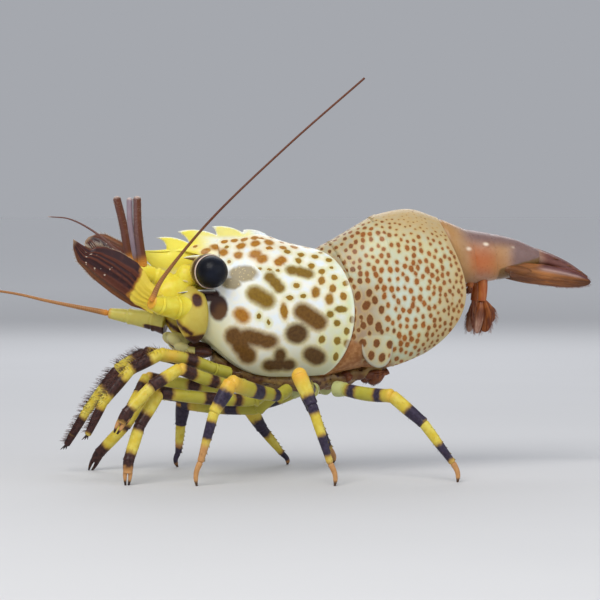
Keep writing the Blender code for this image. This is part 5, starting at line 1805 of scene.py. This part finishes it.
def build_limbs():
    """The maxillipeds and the walking legs, with their bristles."""
    dark, red = Bristles(81), Bristles(83)
    for number, (name, joints) in enumerate(LIMBS.items()):
        kind = name[:-2]
        shape = Shape()
        lengths = distance_along(np.array(joints, float))
        thick = THICKNESS[kind]
        skins = []
        for index in range(4):
            bend = (0.3 if kind == "maxilliped" else -0.25) if index == 1 else 0.0
            ends, radii = joints[index : index + 2], thick[index : index + 2]
            skins.append((index, add_joint(shape, name, index, ends, radii, lengths, bend)))
        if kind in CHELATE:
            add_fingers(shape, name, joints, thick[4:], lengths, kind == "pereiopod_2")
        elif kind == "maxilliped":
            skins.append((4, add_joint(shape, name, 4, joints[4:], thick[4:], lengths, last=True)))
            way = unit(np.subtract(joints[5], joints[4]))
            for spread in (-0.4, 0.0, 0.4):
                tip = np.array(joints[5]) + way * 0.2
                spine(shape, tip - way * 0.5, tip + way * 0.6 + np.array([spread, 0.2 * spread, 0.15]), 0.13,
                      claw=1.0, band=UNBANDED)
        else:
            add_toe(shape, name, joints, thick[4:], lengths)
            add_leg_spines(shape, joints, thick)
        shape.build(f"{name}_limb", LEG_FINISH, "banded_leg", (name,))
        if kind == "maxilliped":
            brush(red, number, skins)
        else:
            stubble(dark, number, skins)
    dark.build("limb_bristles", DARK_BRISTLES, "banded_leg")
    red.build("maxilliped_brushes", BRUSH_BRISTLES, "banded_leg")


def add_leg_spines(shape, joints, thick):
    """Small spines in a row along the rear of the long lower joint."""
    start, end = np.asarray(joints[3], float), np.asarray(joints[4], float)
    way = unit(end - start)
    back = unit(np.array([1.0, 0, 0]) - way * way[0])
    for share in np.linspace(0.2, 0.92, 6):
        root = start + (end - start) * share + back * (thick[3] + (thick[4] - thick[3]) * share) * 0.8
        spine(shape, root, root + way * 0.4 + back * 0.22, 0.07, claw=0.7, band=UNBANDED)


def brush(coat, number, skins):
    """The third maxilliped's brush: close red-brown bristles over its upper and outer faces."""
    random = coat.random
    for index, rings in skins:
        rows, cols = rings.shape[:2]
        centre = rings.mean(1)
        way = unit(centre[-1] - centre[0])
        span = np.linalg.norm(centre[-1] - centre[0])
        for _ in range(int(span * (20 if index < 2 else 70))):
            row, col = random.integers(3, rows - 3), random.integers(cols)
            root = rings[row][col]
            out = unit(root - centre[row])
            topside = out[2] - 0.45 * out[0]
            if random.random() > topside * 1.2:
                continue
            length = random.uniform(0.5, 0.9 + 0.4 * (index < 4)) * (0.5 if index < 2 else 1.0)
            lean = out + way * random.uniform(0.15, 0.6) + random.normal(0, 0.15, 3)
            place = (0.2 * index + 0.2 * row / rows, (number + col / cols) / len(LIMBS))
            coat.add(root - out * 0.03, lean, length, 0.03, place, way * 0.15, random.random())


def stubble(coat, number, skins):
    """A sparse cover of short bristles."""
    random = coat.random
    for index, rings in skins:
        rows, cols = rings.shape[:2]
        centre = rings.mean(1)
        way = unit(centre[-1] - centre[0])
        for _ in range(int(np.linalg.norm(centre[-1] - centre[0]) * 5)):
            row, col = random.integers(3, rows - 3), random.integers(cols)
            out = unit(rings[row][col] - centre[row])
            lean = out * 0.7 + way * random.uniform(0.5, 1.0) + random.normal(0, 0.12, 3)
            place = (0.2 * index + 0.2 * row / rows, (number + col / cols) / len(LIMBS))
            coat.add(rings[row][col] - out * 0.03, lean, random.uniform(0.16, 0.38), 0.018, place, way * 0.12,
                     random.random())


# ---------------------------------------------------------------- swimmerets

# Each pair of swimmerets: root and tip on one side, and width.
SWIMMERETS = {
    1: ((10.3, 1.9, 14.1), (7.6, 2.2, 12.9), 1.9), 2: ((14.9, 2.0, 14.3), (11.3, 2.4, 12.8), 2.3),
    3: ((16.4, 1.5, 16.2), (17.4, 1.5, 15.9), 0.9), 4: ((26.9, 1.4, 26.6), (26.6, 1.5, 24.3), 0.8),
    5: ((28.6, 1.6, 27.0), (28.3, 2.2, 19.0), 3.3),
}

# How much of each swimmeret's length is stalk, and how thick its paddles are.
STALK_SHARE = {1: 0.2, 2: 0.2, 3: 0.25, 4: 0.35, 5: 0.40}
PADDLE_DEPTH = {1: 1.5, 2: 1.6, 3: 0.6, 4: 0.6, 5: 0.6}

# The paddles of a swimmeret: turn from its stalk's way, shift sideways, reach, width, paleness.
PADDLES = {5: ((-8, -0.5, 1.05, 0.42, 0.6), (8, 0.2, 1.0, 0.75, 0.0), (27, 0.6, 0.78, 0.65, 0.0))}
PAIR_OF_PADDLES = ((-13, -0.2, 1.0, 0.72, 0.0), (13, 0.3, 0.93, 0.72, 0.0))


def paddle(share, widest):
    """Half the width of a swimmeret's paddle: narrow where it starts, broadest past its middle."""
    swell = 0.32 + 0.68 * np.sin(math.pi / 2 * np.minimum(1.0, share / 0.62))
    return widest / 2 * swell * np.sqrt(np.clip(1 - np.clip((share - 0.45) / 0.55, 0, 1) ** 2.6, 0.0004, 1))


def add_paddle(shape, fringe, number, side, stalk_end, tip_point, form):
    """One paddle of a swimmeret, turned a little from the stalk's way, and its fringe."""
    turn, shift, reach, broad, pale = form
    c, s = math.cos(math.radians(turn)), math.sin(math.radians(turn))
    x, y, z = tip_point - stalk_end
    way = np.array([x * c - z * s, y + 0.2 * shift * side, x * s + z * c]) * reach
    start = stalk_end - unit(way) * 0.5
    half = SWIMMERETS[number][2] * broad
    ribs = ((0.0, 0.12, 0.12), (0.5, 0.06, 0.08), (-0.5, 0.06, 0.08))
    points, share, _ = blade_rings(
        start, start + way, 86 * side, lambda q: -paddle(q, half), lambda q: paddle(q, half),
        PADDLE_DEPTH[number], 44, 48, 0.25 * side, ribs,
    )
    shape.sleeve(points, flesh=0.5 * (1 - smooth_step(share, 0.0, 0.5)) * (number > 3),
                 dark=(0.5 if number < 3 else 0.25) * smooth_step(share, 0.2, 0.8),
                 pale=pale * smooth_step(share, 0.3, 0.8))
    along, across, normal = blade_frame(start, start + way, 86 * side)
    random = fringe.random
    for step in range(100 if number == 5 else 36):
        q = 0.45 + 0.54 * random.random()
        column, sign = ((0, 1), (24, -1))[step % 2]
        lean = along * 1.0 + across * sign * (0.7 - 0.55 * q) + normal * random.normal(0, 0.15)
        length = random.uniform(0.35, 0.85) * (1.0 if number == 5 else 0.5)
        place = ((number - 1 + q) / 5, 0.5 + side * (0.2 + 0.1 * sign))
        fringe.add(points[int(q * 43)][column], lean, length, 0.03, place, tone=random.random())


def build_swimmerets():
    """Five pairs of swimmerets, each a short stalk with fringed paddles."""
    fringe = Bristles(91)
    for number, (root, tip, _) in SWIMMERETS.items():
        for side, letter in ((-1, "L"), (1, "R")):
            root_point, tip_point = (np.array(point) * (1, side, 1) for point in (root, tip))
            stalk_end = root_point + (tip_point - root_point) * STALK_SHARE[number]
            path = smooth_path([root_point, (root_point + stalk_end) / 2 + [0.1, 0, 0], stalk_end], 24)
            stalk = 0.75 if number == 5 else 0.55
            radii = np.linspace(stalk, stalk * 0.8, 24)
            shape = Shape()
            shape.sleeve(tube_rings(path, radii, sides=24), flesh=0.9 * (number > 3))
            for form in PADDLES.get(number, PAIR_OF_PADDLES):
                add_paddle(shape, fringe, number, side, stalk_end, tip_point, form)
            name = f"pleopod_{number}_{letter}"
            shape.build(f"{name}_paddle", SWIMMERET_FINISH, "swimmeret", (name,))
    fringe.build("swimmeret_bristles", RED_BRISTLES, "swimmeret")


# ---------------------------------------------------------------- stage, lights and camera

TARGET = np.array([3.0, 0.0, 24.1])
AZIMUTH, ELEVATION, DISTANCE = -12.0, 2.0, 380.0
LENS = 165.3

# How far the floor reaches from its middle, in metres.
FLOOR_REACH = 7.0


def in_frame(point):
    """A point of the animal's frame, in metres in the row frame."""
    return Vector(np.asarray(point, float) * MM + ORIGIN)


def look_at(obj, point):
    """Turns a lamp or camera towards a point."""
    obj.rotation_euler = (Vector(point) - obj.location).to_track_quat("-Z", "Y").to_euler()


def area_light(name, place, power, size, colour=(1, 1, 1)):
    """A soft square lamp aimed at the animal."""
    lamp = bpy.data.lights.new(name, "AREA")
    lamp.energy, lamp.size, lamp.color = power, size, colour
    obj = bpy.data.objects.new(name, lamp)
    obj.location = in_frame(place)
    look_at(obj, in_frame((2, 0, 22)))
    bpy.context.scene.collection.objects.link(obj)


def build_stage():
    """A pale floor that brightens with distance, three soft lamps and a pale sky."""
    mesh = bpy.data.meshes.new("floor")
    corners = [(FLOOR_REACH * x, FLOOR_REACH * y, 0) for x, y in ((-1, -1), (1, -1), (1, 1), (-1, 1))]
    mesh.from_pydata(corners, [], [(0, 1, 2, 3)])
    floor = bpy.data.objects.new("floor", mesh)
    f = Finish("floor_finish", roughness=0.7)
    away = f.tree.nodes.new("ShaderNodeVectorMath")
    away.operation = "LENGTH"
    f.link(f.where, away.inputs[0])
    near = f.mix(f.noise(60), (0.60, 0.60, 0.61), (0.64, 0.64, 0.65))
    f.set("Base Color", f.mix(f.ease(away.outputs["Value"], 0.12, 0.9), near, (0.985, 0.985, 0.985)))
    mesh.materials.append(f.material)
    bpy.context.scene.collection.objects.link(floor)
    area_light("key", (-150, -260, 330), 1.3, 0.26, (1.0, 0.98, 0.94))
    area_light("fill", (260, -260, 160), 0.42, 0.40, (0.92, 0.96, 1.0))
    area_light("rim", (60, 300, 260), 0.45, 0.30, (0.95, 0.97, 1.0))
    world = bpy.data.worlds.new("studio")
    world.use_nodes = True
    world.node_tree.nodes["Background"].inputs["Color"].default_value = (0.82, 0.85, 0.92, 1.0)
    world.node_tree.nodes["Background"].inputs["Strength"].default_value = 0.46
    bpy.context.scene.world = world
    bpy.context.scene.view_settings.view_transform = "Standard"


def build_camera():
    """The camera, at the angle and distance that frame the animal."""
    turn, rise = math.radians(AZIMUTH), math.radians(ELEVATION)
    back = np.array([math.sin(turn) * math.cos(rise), -math.cos(turn) * math.cos(rise), math.sin(rise)])
    data = bpy.data.cameras.new("camera")
    data.lens, data.sensor_width = LENS, 36.0
    data.clip_start, data.clip_end = 0.01, 10.0
    camera = bpy.data.objects.new("camera", data)
    camera.location = in_frame(TARGET + DISTANCE * back)
    look_at(camera, in_frame(TARGET))
    bpy.context.scene.collection.objects.link(camera)
    bpy.context.scene.camera = camera


build_carapace()
build_abdomen()
build_scales()
build_tail_fan()
build_telson()
build_eyes()
build_head()
build_antenna_bases()
build_mouthparts()
build_underside()
build_peduncles()
build_flagella()
build_antennules()
build_limbs()
build_swimmerets()
build_stage()
build_camera()
